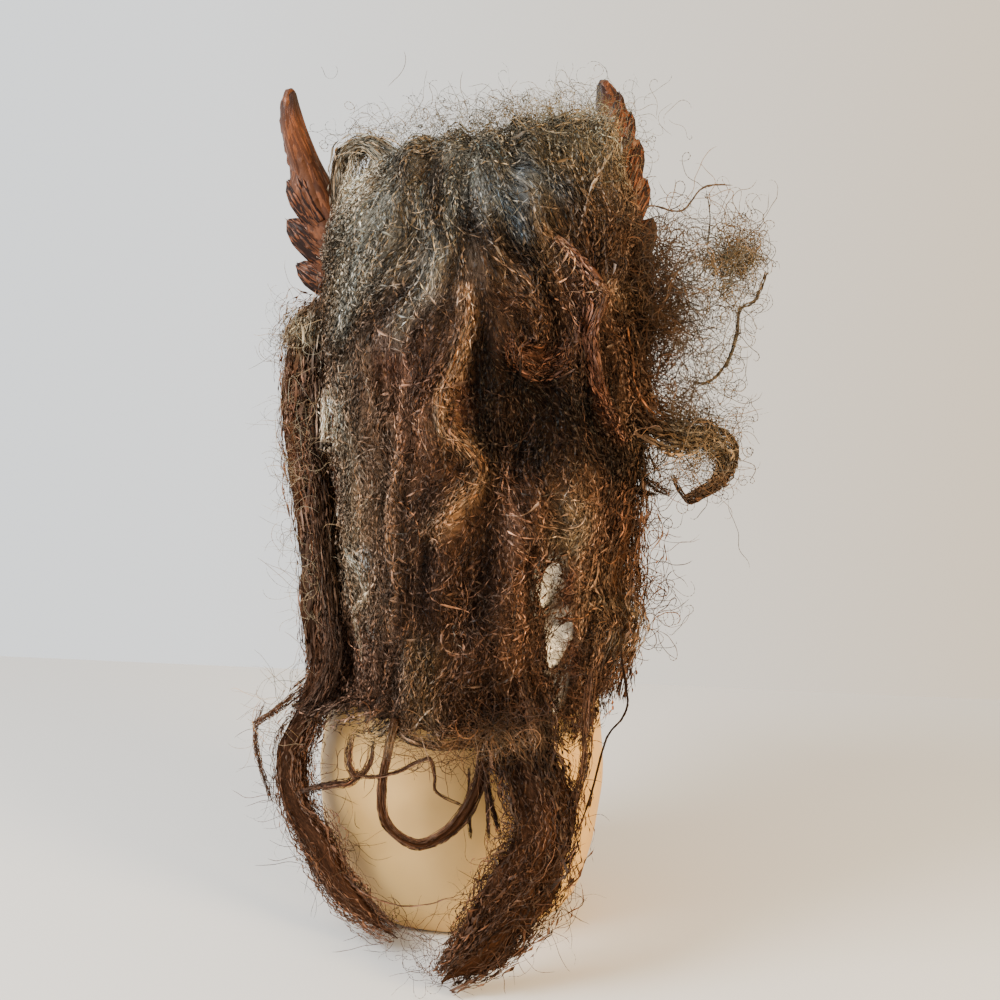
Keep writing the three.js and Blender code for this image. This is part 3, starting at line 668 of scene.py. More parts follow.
def crimped(strands, rng, wave, height):
    """Strands with the fine waves of crimped fibre, and how strongly each step is painted with a glint."""
    each = (len(strands), 1)
    along = unit(np.gradient(strands, axis=1))
    side = unit(np.cross(along, unit(rng.normal(size=(*each, 3)))))
    lift = np.cross(side, along)
    length = np.cumsum(np.linalg.norm(np.diff(strands, axis=1, prepend=strands[:, :1]), axis=2), axis=1)
    pace = rng.uniform(*wave, each) * MM
    pace = pace * (1 + 0.25 * np.sin(length / (11 * MM) + rng.uniform(0, 6, each)))
    turn = 2 * math.pi * length / pace + rng.uniform(0, 6.3, each)
    size = rng.uniform(*height, each) * MM
    sideways = side * (size * np.sin(turn))[..., None]
    upward = lift * (0.7 * size * np.sin(0.83 * turn))[..., None]
    shine = np.maximum(np.sin(turn + rng.uniform(0, 6.3, each)), 0.0) ** 1.5
    return strands + sideways + upward, shine


def hair_strands(name, node, strands, rng, width, wave=(4.0, 6.5), height=(0.3, 0.7), dull=0.5, bright=2.0,
                 vary=0.35, level=1.0, free=True, tint=None):
    """A piece of crimped strands that stands for a node.

    The tone is scaled by dull where a strand has no painted glint, by bright where it has one, and by level,
    which carries painted light and shade.
    """
    strands, shine = crimped(strands, rng, wave, height)
    strands[..., 2] = np.maximum(strands[..., 2], LEAST_HEIGHT)
    tones = tone_at(strands, rng, vary, tint) * np.broadcast_to(level, shine.shape)[..., None]
    glint = 0.75 * tones + 0.25 * tones.mean(-1, keepdims=True) * WARM_GLINT
    tones = dull * tones + (bright - dull) * glint * shine[..., None]
    mesh = ribbon_mesh(name, strands, tones, width, rng, free)
    hair_piece(add_piece(name, mesh, bpy.data.materials["crimped_fibre"]), node)


def hair_piece(piece, node):
    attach(piece, "root")
    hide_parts(node)


# Hair: the curtain over crown and back, as a sheet round an axis

# Over the crown the sheet turns about a level axis, below it hangs from it; lengths are in mm.
CROWN_AXIS = 325.0  # height of the level axis
CROWN_TURN = math.radians(165)  # from the brow over the crown to the back
CROWN_REACH = 80.0
CROWN_LENGTH = CROWN_TURN * CROWN_REACH
HEM_HEIGHT = 106.0
HEM_MARGIN = 5.0
SHEET_LENGTH = CROWN_LENGTH + CROWN_AXIS - HEM_HEIGHT
SHEET_ROWS = 116
SHEET_COLUMNS = 97
SHEET_SIDE = 1.62  # radians either side of the middle that the sheet's grids cover
HAIR_SIDE = 1.53  # radians that the hair covers
STRAY_SIDE = 1.56  # radians that the outermost strands reach
BACK_REACH = 88.0  # the usual distance of the back from the upright axis
NOTCH_HEIGHT = 254.0  # height of the notch in the +X edge that bares the strap
RAY_START = 300.0
LEAST_REACH = 20.0
FAR_OFF = 1e6  # keeps places on the face side out of a search for the nearest one
CURTAIN_PIECES = 3
CURTAIN_STEPS = 25
STREAM_STEPS = 26
CURTAIN_MASS_GRID = (104, 88)
# The sheet's upright axis: [height, x].
SHEET_MIDDLE = [[106, 3], [170, -4], [240, -8], [300, -5], [325, -3]]

# Hollows and swellings of the back: [x, z, reach in x, reach in z, height], in mm.
SWELLS = [
    [-34, 272, 20, 24, -7], [-12, 245, 9, 22, -4], [30, 265, 20, 34, 3], [-8, 330, 24, 18, 2],
    [50, 345, 20, 24, 3], [-52, 320, 14, 26, 4], [-44, 214, 24, 18, 3], [30, 160, 22, 40, 2],
    [-2, 150, 9, 40, -3], [12, 372, 10, 16, -3], [14, 402, 30, 14, -6], [-52, 398, 20, 18, 15],
    [44, 190, 6, 30, -3], [-41, 170, 6, 26, -5],
]


class Sheet:
    """The outer face of the hair curtain: places are (down, around) and a height above the face.

    `down` runs in mm from the brow over the crown to the hem, and `around` is the turn in radians
    about the upright axis, zero at the middle of the back and positive toward -X.
    """

    def __init__(self, node):
        down = np.linspace(0, SHEET_LENGTH, SHEET_ROWS)
        around = np.linspace(-SHEET_SIDE, SHEET_SIDE, SHEET_COLUMNS)
        self.down, self.around = np.meshgrid(down, around, indexing="ij")
        self.reach = self.softened(self.softened(self.filled(self.measured(NODES[node].data))))
        self.face = self.point(self.down, self.around, 0.0) / MM
        self.flow = hair_flow(self.down, self.around)
        self.comb()
        self.lane, self.calm = self.lanes()
        self.gap_places = self.places_of([gap[:2] for gap in GAPS])

    def measured(self, mesh):
        """The node's distance from the axis at every place, or NaN where no ray meets it."""
        corners = [vertex.co for vertex in mesh.vertices]
        tree = BVHTree.FromPolygons(corners, [tuple(face.vertices) for face in mesh.polygons])
        centre, way = self.rays(self.down, self.around)
        reach = np.full(self.down.shape, np.nan)
        for index in np.ndindex(reach.shape):
            start = Vector((centre[index] + RAY_START * way[index]) * MM)
            hit = tree.ray_cast(start, Vector(-way[index]))[0]
            if hit is not None:
                distance = RAY_START - (start - hit).length / MM
                if distance > LEAST_REACH:
                    reach[index] = distance
        return reach

    @staticmethod
    def rays(down, around):
        """Points on the axis and outward ways, in mm, for places on the sheet."""
        turn = np.maximum(CROWN_LENGTH - down, 0.0) / CROWN_REACH
        height = CROWN_AXIS - np.maximum(down - CROWN_LENGTH, 0.0)
        middle = np.interp(height, [m[0] for m in SHEET_MIDDLE], [m[1] for m in SHEET_MIDDLE])
        middle = middle * (1.0 - np.clip(turn, 0, 1))
        centre = np.stack([middle, np.zeros_like(middle), height], -1)
        way = np.stack([-np.sin(around), np.cos(around) * np.cos(turn), np.cos(around) * np.sin(turn)], -1)
        return centre, way

    @staticmethod
    def filled(reach):
        """Places that no ray met take the reach of the nearest place toward the middle."""
        middle = reach.shape[1] // 2
        for row in reach:
            if np.isnan(row[middle]):
                row[middle] = 80.0
            for c in range(middle + 1, len(row)):
                if np.isnan(row[c]):
                    row[c] = row[c - 1]
            for c in range(middle - 1, -1, -1):
                if np.isnan(row[c]):
                    row[c] = row[c + 1]
        return reach

    @staticmethod
    def softened(reach):
        padded = np.pad(reach, 1, mode="edge")
        return (padded[1:-1, 1:-1] * 2 + padded[:-2, 1:-1] + padded[2:, 1:-1] + padded[1:-1, :-2]
                + padded[1:-1, 2:]) / 6.0

    def comb(self):
        """Turns the flow along the locks of the curtain and raises or sinks the face under them."""
        here = np.stack([self.down, self.around * BACK_REACH], -1)
        for _, _, width, rise, route in CURTAIN_LOCKS:
            gap, way = off_route(self.places_of(route) * (1.0, BACK_REACH), here)
            self.reach += rise * np.exp(-(gap / width) ** 2)
            if width > 9:
                continue
            off = np.arctan2(way[..., 1], way[..., 0]) - self.flow
            off = (off + 0.5 * math.pi) % math.pi - 0.5 * math.pi
            self.flow += 0.85 * np.exp(-(gap / (width + 2.0)) ** 2) * off

    def lanes(self):
        """A number that stays the same along each line of flow, in mm across it, and where it is even."""
        slip = SHEET_LENGTH / (SHEET_ROWS - 1) * np.tan(np.clip(self.flow, -1.1, 1.1)) / BACK_REACH
        lane = self.around * BACK_REACH
        first = int(CROWN_LENGTH / SHEET_LENGTH * SHEET_ROWS) + 3
        for r in range(first + 1, SHEET_ROWS):
            lane[r] = np.interp(self.around[r] - slip[r], self.around[r], lane[r - 1])
        for r in range(first - 1, -1, -1):
            lane[r] = np.interp(self.around[r] + slip[r], self.around[r], lane[r + 1])
        slope = np.abs(np.gradient(lane, axis=1)) / (2 * SHEET_SIDE * BACK_REACH / (SHEET_COLUMNS - 1))
        return lane, np.clip(1.8 / np.maximum(slope, 0.1), 0.0, 1.0)

    def fold(self, down, around):
        """The bundles of the hair across its flow: above zero on their crests, below it between them."""
        lane = self.look_up(self.lane, down, around)
        small = np.sin(lane / 1.2 + 1.4 * np.sin(lane / 9.0) + 0.9 * np.sin(down / 23.0))
        large = np.sin(lane / 2.5 + 1.2 * np.sin(lane / 17.0 + down / 50.0) + 0.8 * np.sin(down / 40.0))
        return self.look_up(self.calm, down, around) * (small + 1.3 * large)

    @staticmethod
    def look_up(grid, down, around):
        """The values of one of the sheet's grids at any places."""
        r = np.clip(down / SHEET_LENGTH * (SHEET_ROWS - 1), 0, SHEET_ROWS - PAST_GRID)
        c = (around + SHEET_SIDE) / (2 * SHEET_SIDE) * (SHEET_COLUMNS - 1)
        c = np.clip(c, 0, SHEET_COLUMNS - PAST_GRID)
        return grid_value(grid, r, c)

    def point(self, down, around, height):
        """Points in metres, with the hollows and swellings of the back included."""
        centre, way = self.rays(down, around)
        reach = self.look_up(self.reach, down, around) + height
        place = centre + way * reach[..., None]
        swell = np.zeros_like(reach)
        for x, z, rx, rz, size in SWELLS:
            swell += size * np.exp(-((place[..., 0] - x) / rx) ** 2 - ((place[..., 2] - z) / rz) ** 2)
        return (place + way * (swell * smoothstep(-40.0, -5.0, place[..., 1]))[..., None]) * MM

    def places_of(self, route):
        """The places on the back of the sheet that lie at the given [x, z] points, in mm."""
        places = []
        front = FAR_OFF * (self.face[..., 1] < 0)
        for x, z in route:
            gap = (self.face[..., 0] - x) ** 2 + (self.face[..., 2] - z) ** 2 + front
            near = np.argsort(gap, axis=None)[:4]
            weight = 1.0 / (gap.ravel()[near] + 0.5)
            places.append([np.average(self.down.ravel()[near], weights=weight),
                           np.average(self.around.ravel()[near], weights=weight)])
        return np.array(places)


def side_edge(down):
    """Where the curtain ends on the +X side: it leaves a notch at the height of the strap."""
    return -HAIR_SIDE + 0.62 * np.exp(-((down - CROWN_LENGTH - CROWN_AXIS + NOTCH_HEIGHT) / 13.0) ** 2)


def hair_flow(down, around):
    """Turn of the hair from straight down, in radians, at places on the sheet; positive toward -X."""
    back = down - CROWN_LENGTH
    fan = smoothstep(-190.0, -70.0, back) * smoothstep(90.0, 0.0, back)
    part = fan * np.where(around < -0.05, 0.85, 0.35) * np.tanh(2.8 * (around + 0.05))
    side = 0.45 * smoothstep(0.55, 0.95, around)
    side = side * smoothstep(-60.0, -20.0, back) * smoothstep(60.0, 10.0, back)
    waves = 0.24 * np.sin(back / 7.5 + 6.2 * around) + 0.22 * np.sin(back / 13.0 - 9.5 * around + 1.3)
    waves += 0.18 * np.sin(back / 27.0 + 4.0 * around + 4.0) + 0.12 * np.sin(back / 5.0 + 17.0 * around)
    calm = 0.45 + 0.55 * smoothstep(-20.0, 60.0, back)
    hem = 1.25 * smoothstep(SHEET_LENGTH - 32.0, SHEET_LENGTH - 6.0, down)
    hem = hem * np.tanh(2.5 * np.sin(3.3 * around + 0.5))
    return part + side + calm * waves + hem


def parted(sheet, rng, down, around):
    """Strands pushed aside by the gaps in the curtain; a few still cross them."""
    kept = rng.random((len(down), 1)) < 0.88
    for (_, _, wide, high), place in zip(GAPS, sheet.gap_places):
        level = np.clip((down - place[0]) / high, -1.0, 1.0)
        room = wide / BACK_REACH * np.sqrt(1.0 - level**2) * (0.8 + 0.5 * rng.random((len(down), 1)))
        inside = (np.abs(level) < 1.0) + 1e-6
        off = around - place[1]
        side = np.sign((off * inside).sum(1, keepdims=True))
        around = np.where(kept & (inside > 0.5), place[1] + side * np.maximum(off * side, room), around)
    return down, around


def curtain_strands(sheet, rng, count, length):
    """Strands that follow the flow over the sheet, in metres, and the painted light and shade of each step.
    """
    steps = CURTAIN_STEPS
    stride = length / (steps - 1)
    turn = rng.uniform(-1, 1, count)
    path = np.empty((count, steps, 2))
    path[:, 0, 0] = rng.uniform(-6, SHEET_LENGTH - 8, count)
    path[:, 0, 1] = np.where(rng.random(count) < 0.75, turn * 1.1, turn * HAIR_SIDE)
    loose = rng.random(count) < 0.17
    tangle = 0.17 + 0.2 * smoothstep(CROWN_LENGTH + 10.0, CROWN_LENGTH + 100.0, path[:, 0, 0])
    bias = rng.normal(0, 1, count) * tangle + loose * rng.normal(0, 0.7, count)
    curl = loose * rng.normal(0, 0.06, count)
    for k in range(1, steps):
        down, around = path[:, k - 1].T
        way = sheet.look_up(sheet.flow, down, around) + bias + curl * k * stride
        path[:, k, 0] = down + stride * np.cos(way)
        path[:, k, 1] = around + stride * np.sin(way) / BACK_REACH
    down = np.clip(path[..., 0], -6, SHEET_LENGTH - HEM_MARGIN + 13 * rng.random((count, 1)) ** 1.5)
    around = np.clip(path[..., 1], side_edge(down) - 0.03 * rng.random((count, 1)), STRAY_SIDE)
    down, around = parted(sheet, rng, down, around)
    s = np.linspace(0, length, steps)[None, :]
    fold = sheet.fold(down, around)
    height = rng.uniform(-1.9, 2.2, (count, 1)) + loose[:, None] * rng.uniform(0, 3.5, (count, 1))
    depth = height - height.min()
    height = height + 0.45 * fold + wander(rng, (count, steps), [(19, 0.8)], s)
    low = smoothstep(SHEET_LENGTH - 90.0, SHEET_LENGTH - 30.0, down)
    # Painted light and shade: lighter on the crests of the bundles, darker between them and the lower a
    # strand lies. Strands also grow lighter toward the hem.
    level = np.exp(0.28 * fold) * ((0.50 + 0.13 * depth) * (1.0 + 0.25 * low))
    return sheet.point(down, around, height), level


def stream_strands(sheet, rng, route, width, lift, count):
    """Strands of one raised lock over the curtain, along [x, z] points."""
    stations = sheet.places_of(route) * (1.0, BACK_REACH)
    steps = STREAM_STEPS
    share = rng.uniform(0.25, 0.5, (count, 1))
    begin = np.clip(rng.uniform(-0.5, 1.0, (count, 1)) * (1 - share * 0.5), 0, 1 - share)
    t = begin + share * np.linspace(0, 1, steps)[None, :]
    s = t * path_length(curve_at(stations, np.linspace(0, 1, 120)))
    at = curve_at(stations, t)
    along = unit(curve_at(stations, np.clip(t + 0.01, 0, 1)) - curve_at(stations, np.clip(t - 0.01, 0, 1)))
    lane = rng.normal(0, 0.5, (count, 1)) + wander(rng, (count, steps), [(30, 0.22), (12, 0.1)], s)
    taper = 0.35 + 0.65 * np.sin(math.pi * np.clip(t * 1.1, 0, 1)) ** 0.6
    off = lane * width * taper
    down = at[..., 0] - along[..., 1] * off
    around = (at[..., 1] + along[..., 0] * off) / BACK_REACH
    height = lift * taper * np.exp(-lane**2) * rng.uniform(0.3, 1.0, (count, 1))
    height = height + wander(rng, (count, steps), [(22, 0.6)], s)
    return sheet.point(np.clip(down, 0, SHEET_LENGTH + 12), np.clip(around, -STRAY_SIDE, STRAY_SIDE), height)


def sheet_mass(sheet, name, material):
    """The closed mass under the strands: two faces a few millimetres apart, painted pale in the gaps as
    painted light for the lit head behind them.
    """
    share, across = np.meshgrid(*(np.linspace(0, 1, size) for size in CURTAIN_MASS_GRID), indexing="ij")
    around = 2 * HAIR_SIDE * across - HAIR_SIDE
    hem = SHEET_LENGTH - HEM_MARGIN - 3.5 * np.abs(np.sin(around * 11))
    hem -= 2.0 * np.abs(np.sin(around * 29 + 1))
    down = share * hem
    around = side_edge(down) + (HAIR_SIDE - side_edge(down)) * across
    lane = sheet.look_up(sheet.lane, down, around)
    fold = sheet.fold(down, around)
    thin = smoothstep(1.0, 0.93, share) * smoothstep(0.0, 0.04, share)
    relief = 0.45 * fold + 0.5 * np.sin(lane / 0.95 + down / 30.0)
    outer = sheet.point(down, around, -2.4 + relief * thin - 5.4 * (1 - thin))
    inner = sheet.point(down, around, np.full_like(down, -8.5))
    rows, columns = down.shape
    half = rows * columns
    index = np.arange(half).reshape(rows, columns)
    top = np.stack([index[:-1, :-1], index[:-1, 1:], index[1:, 1:], index[1:, :-1]], -1).reshape(-1, 4)
    rim = np.concatenate([index[0, :-1], index[:-1, -1], index[-1, :0:-1], index[:0:-1, 0]])
    after = np.roll(rim, -1)
    sides = np.stack([after, rim, rim + half, after + half], -1)
    faces = np.concatenate([top, top[:, ::-1] + half, sides])
    mesh = mesh_from(name, np.concatenate([outer.reshape(-1, 3), inner.reshape(-1, 3)]), faces)
    outward(mesh)
    put_values(mesh, "lane", np.tile(lane.ravel(), 2))
    put_values(mesh, "run", np.tile(down.ravel(), 2))
    tones = 1.05 * tone_at(positions(mesh)[None], draws("curtain_mass"), 0.0)[0]
    # Painted light and shade: the mass is lighter on the crests of the bundles and darker between them.
    tones = tones * np.exp(0.22 * np.tile(fold.ravel(), 2))[:, None]
    # Painted light: the mass turns pale in the gaps, standing for the lit head behind.
    for (_, _, wide, high), place in zip(GAPS, sheet.gap_places):
        off = np.hypot((down - place[0]) / high, (around - place[1]) * BACK_REACH / wide)
        lit_gap = np.tile(smoothstep(1.5, 1.1, off).ravel(), 2)[:, None]
        tones += lit_gap * (np.array(LIT_GAP_TONE) - tones)
    put_colours(mesh, "fibre", tones)
    return add_piece(name, mesh, material)


# Hair: locks along a path

MASS_SIDES = 24
MASS_GROOVES = 5


class Lock:
    """A bunch of hair along a path of [x, y, z, half width, half thickness] stations, in mm."""

    def __init__(self, stations, away=None):
        self.stations = np.asarray(stations, float)
        self.away = away
        self.length = path_length(self.middle(np.linspace(0, 1, 200)))

    def middle(self, t):
        return curve_at(self.stations, t)[..., :3]

    def point(self, t, across, out):
        """Points in metres at shares of the half width and half thickness from the path."""
        at = curve_at(self.stations, t)
        along = unit(self.middle(t + 0.004) - self.middle(t - 0.004))
        away = at[..., :3] * np.array([1.0, 1.0, 0.0]) if self.away is None else np.array(self.away, float)
        side = unit(np.cross(along, np.broadcast_to(unit(away), along.shape)))
        thick = unit(np.cross(side, along))
        sideways = side * (at[..., 3] * across)[..., None]
        raised = thick * (at[..., 4] * out)[..., None]
        return (at[..., :3] + sideways + raised) * MM

    def strands(self, rng, count, bunches, span, steps, stray, core=0.3):
        """Strands gathered in bunches that wind along the path, and the painted light and shade of each
        step.

        Each strand covers a share of the path's length within span. The bunches lie no nearer the
        path than core, and about a fifth of the strands stray outward.
        """
        share = rng.uniform(*span, (count, 1))
        begin = rng.uniform(-0.5, 1.0, (count, 1)) * (1 - share * 0.5)
        begin = np.clip(begin, 0, 1 - share - 0.09 * rng.random((count, 1)) ** 2)
        t = begin + share * np.linspace(0, 1, steps)[None, :]
        s = t * self.length
        bunch = rng.integers(0, bunches, (count, 1))
        pick = rng.uniform(0, 2 * math.pi, bunches)[bunch]
        reach = rng.uniform(max(0.42, core - 0.02), max(0.85, core + 0.12), bunches)[bunch]
        wind = rng.uniform(-1.8, 1.8, bunches)[bunch]
        sway = 0.10 * np.sin(s / rng.uniform(9, 16, bunches)[bunch] + pick * 5)
        turn = pick + wind * t
        spin = rng.uniform(0, 2 * math.pi, (count, 1)) + 1.2 * t
        own = 0.36 * np.sqrt(rng.random((count, 1)))
        own = own + wander(rng, (count, steps), [(31, 0.12), (12, 0.08)], s)
        away = 1 + (rng.random((count, 1)) < 0.22) * stray * rng.random((count, 1)) ** 2
        across = ((reach + sway) * np.cos(turn) + own * np.cos(spin)) * away
        out = ((reach + sway) * np.sin(turn) + own * np.sin(spin)) * away
        # Painted light and shade: strands are lighter the farther they lie from the lock's middle.
        level = 0.65 + 0.75 * np.clip(np.hypot(across, out), 0.0, 1.5) ** 2
        return self.point(t, across, out), level * rng.uniform(0.75, 1.3, bunches)[bunch]

    def mass(self, name, share, material):
        """The closed body of the lock under its strands, at a share of its width, with grooves."""
        rows = max(24, int(self.length / 2.2))
        t, turn = np.meshgrid(np.linspace(0.0, 1.0, rows), full_turn(MASS_SIDES), indexing="ij")
        run = t * self.length
        ripple = 1 + 0.12 * np.sin(MASS_GROOVES * turn + 7 * t)
        ripple += 0.07 * np.sin((2 * MASS_GROOVES + 1) * turn - 11 * t)
        ripple += 0.05 * np.sin(run / 2.6 + 3 * np.sin(2 * turn)) * np.sin(3 * turn + run / 9)
        ripple *= share * (1 + 0.08 * np.sin(run / 7.0)) * (0.1 + 0.9 * smoothstep(1.0, 0.86, t))
        rings = self.point(t, ripple * np.cos(turn + 1.2 * t), ripple * np.sin(turn + 1.2 * t))
        mesh = loft_mesh(name, rings)
        put_values(mesh, "lane", np.append(turn.ravel() * 8.0, [0.0, 0.0]))
        put_values(mesh, "run", np.append(run.ravel(), [0.0, self.length]))
        put_colours(mesh, "fibre", tone_at(positions(mesh)[None], draws("lock_mass"), 0.0)[0])
        return add_piece(name, mesh, material)


# The free locks, by node: stations along the path, share of the width that the mass fills (core),
# brightness (gain), strands, bunches, a strand's share of the path (span), steps of a strand, how far
# single strands stray, and the length (wave) and height of the crimp, in mm.
LOCKS = {
    "hair_lock_left": dict(
        stations=[[80, -16, 306, 8, 7], [90, -12, 296, 11, 9], [93, -7, 278, 12, 9], [93, 0, 250, 13, 9],
            [86, 8, 220, 12, 9], [79, 17, 184, 12, 9], [77, 25, 152, 12, 8], [72, 31, 128, 12, 8],
            [77, 35, 108, 12, 8], [85, 38, 87, 12.5, 9], [82, 46, 62, 12, 8], [69, 56, 44, 14, 7],
            [57, 67, 29, 11, 6], [41, 75, 17, 8, 4], [26, 81, 9, 5, 2]],
        core=0.72, gain=1.45, count=2500, bunches=17, span=(0.06, 0.12), steps=24, stray=0.9,
        wave=(5, 10), height=(0.2, 0.6)),
    "hair_tail_right": dict(
        stations=[[-18, 82, 134, 8, 4], [-26, 87, 116, 14, 7], [-36, 95, 97, 16, 10],
            [-41, 100, 77, 17, 11], [-36, 104, 58, 18.5, 12], [-26, 108, 40, 17, 11],
            [-13, 113, 21, 13, 8], [3, 117, 6, 7, 4]],
        core=0.78, gain=0.8, count=2450, bunches=18, span=(0.13, 0.24), steps=24, stray=0.4,
        wave=(5, 10), height=(0.25, 0.8)),
    "hair_side_right": dict(
        stations=[[-68, 40, 268, 9, 9], [-74, 48, 245, 12, 10], [-75, 54, 215, 13, 11],
            [-71, 60, 188, 14, 12], [-75, 64, 166, 14, 12], [-68, 72, 144, 9, 9], [-64, 78, 132, 4, 4]],
        core=0.3, gain=0.9, count=1400, bunches=14, span=(0.12, 0.26), steps=24, stray=0.9, wave=(5, 9),
        height=(0.2, 0.6)),
    "hair_curl_right": dict(
        stations=[[-64, 62, 312, 7, 6], [-69, 60, 292, 8, 7], [-73, 58, 276, 9, 8],
            [-83, 56, 264, 11, 9], [-97, 53, 258, 11, 9], [-111, 50, 256, 10, 7], [-120, 49, 250, 8, 6],
            [-122, 49, 241, 6, 5], [-118, 50, 234, 4, 4], [-110, 51, 229, 3, 3], [-102, 52, 226, 1, 1]],
        away=(0, 1, 0), core=0.26, gain=0.85, count=950, bunches=14, span=(0.12, 0.3), steps=26,
        stray=0.9, wave=(3.5, 6), height=(0.4, 0.9)),
    "hair_fold_left": dict(
        stations=[[70, 0, 350, 4, 4], [72, 4, 369, 5, 5], [69, 9, 384, 5, 5], [58, 17, 388, 5, 5],
            [46, 28, 381, 6, 5], [35, 41, 368, 6, 5], [25, 55, 350, 3, 3]],
        away=(0.3, 0.8, 0.5), core=0.3, gain=1.25, count=300, bunches=7, span=(0.4, 0.8), steps=26,
        stray=0.8, wave=(4, 7), height=(0.2, 0.6)),
    "hair_loop": dict(
        stations=[[30, 90, 122, 3, 3], [33, 89, 106, 3, 3], [35.5, 88, 86, 3, 3], [32, 88, 69, 3, 3],
            [17, 89, 60.5, 3, 3], [1, 90, 70, 3, 3], [-9, 91, 88, 3, 3], [-12, 91, 106, 3, 3],
            [-12, 91, 122, 3, 3]],
        away=(0, 1, 0), core=0.62, gain=0.9, count=110, bunches=2, span=(0.4, 0.8), steps=40, stray=0.15,
        wave=(9, 14), height=(0.05, 0.2)),
}

# Wisps of a half width below THIN_WISP have thicker strands.
THIN_WISP = 1.5
THIN_WISP_GAIN = 1.6
# Free wisps: node, path points in mm, half width, strands, wave height, brightness.
WISPS = {
    "curl_rim": ["hair_curl_right", [[-72, 52, 264], [-87, 52, 259], [-104, 52, 260], [-119, 51, 260],
        [-127, 50, 252], [-126, 50, 241], [-118, 50, 231], [-107, 51, 224], [-102, 51, 227],
        [-95, 52, 238]], 1.4, 60, 0.5, 0.5],
    "curl_stub": ["hair_curl_right", [[-70, 58, 232], [-80, 57, 229], [-90, 56, 226.5]],
        2.4, 60, 0.6, 0.6],
    "curl_short": ["hair_curl_right", [[-70, 56, 248], [-80, 54, 238], [-91, 52, 230], [-98, 51, 229]],
        2.5, 60, 0.6, 0.7],
    "frizz_edge": ["hair_curl_right", [[-138, 40, 336], [-133, 40, 322], [-126, 41, 317],
        [-125, 42, 305], [-120, 44, 290], [-111, 46, 281], [-100, 50, 282]], 2.2, 30, 0.6, 0.8],
    "long_curl": ["hair_curl_right", [[-68, 50, 366], [-74, 50, 360], [-79, 50, 364], [-93, 50, 362],
        [-101, 50, 372], [-108, 49, 375], [-118, 48, 375]], 0.8, 7, 0.3, 0.8],
    "upright": ["hair_curl_right", [[-104, 50, 372], [-107, 50, 360], [-107, 50, 345]],
        0.7, 4, 0.2, 0.8],
    "wire": ["hair_side_right", [[-73, 80, 164], [-74, 80, 152], [-78, 80, 133], [-76, 80, 124],
        [-69, 82, 114], [-63, 86, 88], [-57, 90, 68]], 0.8, 26, 0.15, 0.35],
    "side_drape": ["hair_side_right", [[-61, 80, 148], [-59, 84, 126], [-59, 88, 106], [-55, 93, 86],
        [-49, 98, 66]], 4.5, 70, 0.3, 0.9],
    "edge_right": ["hair_curtain", [[-80, 18, 226], [-80, 20, 190], [-79, 22, 150], [-76, 24, 116]],
        10.0, 220, 0.6, 0.8],
    "edge_left": ["hair_curtain", [[76, 8, 190], [76, 8, 160], [74, 8, 130], [72, 10, 112]],
        8.0, 120, 0.6, 0.8],
    "hem_lobe": ["hair_curtain", [[-31, 90, 148], [-37, 93, 130], [-40, 95, 116], [-37, 97, 105]],
        6.0, 200, 0.7, 0.8],
    "pale_line": ["hair_lock_left", [[70, 44, 147], [64, 46, 137], [57, 50, 127]], 0.9, 14, 0.2, 5.0],
    "oval": ["hair_loop", [[50, 88, 113], [51, 88, 100], [47, 88, 93], [42, 88, 100], [41, 88, 111]],
        2.2, 90, 0.4, 1.1],
    "side_bridge": ["hair_loop", [[75, 66, 77], [68, 76, 83], [58, 84, 88], [51, 86, 90], [48, 87, 96]],
        2.8, 130, 0.4, 0.9],
    "thin_wave": ["hair_loop", [[47, 88, 95], [41, 89, 94], [29, 90, 97], [20, 90, 102], [13, 90, 104],
        [10, 91, 96], [9, 91, 88], [-4, 91, 82]], 1.9, 50, 0.3, 1.1],
    "low_arc": ["hair_lock_left", [[54, 72, 36], [42, 84, 32], [25, 86, 28], [11, 87, 30], [2, 90, 35],
        [-8, 96, 39]], 0.6, 7, 0.2, 1.0],
    "drip_1": ["hair_tail_right", [[-5, 90, 100], [-6, 90, 80], [-8, 90, 64]], 1.9, 40, 0.3, 0.9],
    "drip_2": ["hair_tail_right", [[-11, 91, 100], [-13, 91, 84], [-15, 91, 64]], 2.2, 50, 0.3, 0.9],
    "drip_3": ["hair_tail_right", [[-14, 92, 100], [-17, 92, 84], [-22, 92, 67]], 2.2, 50, 0.3, 0.9],
    "lock_wisp": ["hair_lock_left", [[78, 38, 122], [90, 42, 112], [99, 44, 105], [105, 45, 100]],
        3.0, 50, 0.5, 1.6],
    "lock_wisp_low": ["hair_lock_left", [[97, 42, 112], [101, 42, 96], [99, 43, 80], [92, 47, 62]],
        3.5, 40, 0.5, 1.8],
    "bridge_high": ["hair_lock_left", [[70, 30, 318], [78, 18, 306], [84, 8, 290], [84, 6, 276]],
        6.0, 120, 0.6, 1.0],
    "bridge_mid": ["hair_lock_left", [[82, 14, 242], [76, 26, 226], [72, 34, 200], [68, 40, 172],
        [64, 46, 146], [68, 44, 122]], 6.0, 220, 0.5, 0.9],
    "bridge_low": ["hair_lock_left", [[64, 50, 160], [62, 54, 140], [70, 48, 118], [80, 42, 104]],
        6.0, 110, 0.4, 0.8],
    "lock_veil": ["hair_lock_left", [[72, 16, 322], [78, 8, 304], [81, 6, 284], [80, 8, 262],
        [78, 14, 236], [75, 20, 206], [73, 26, 176], [72, 30, 146], [70, 34, 124]], 9.0, 250, 0.8, 1.2],
    # Painted light: bright pale strands over the strap notch stand for light on the head seen there.
    "strap_glint_veil": ["hair_lock_left", [[73, 30, 270], [72, 33, 256], [72, 35, 243]], 4.0, 70, 0.5, 2.2],
    "fold_fill": ["hair_fold_left", [[60, 12, 389], [63, 13, 376], [66, 15, 364], [67, 17, 350]],
        7.0, 170, 0.8, 1.2],
}

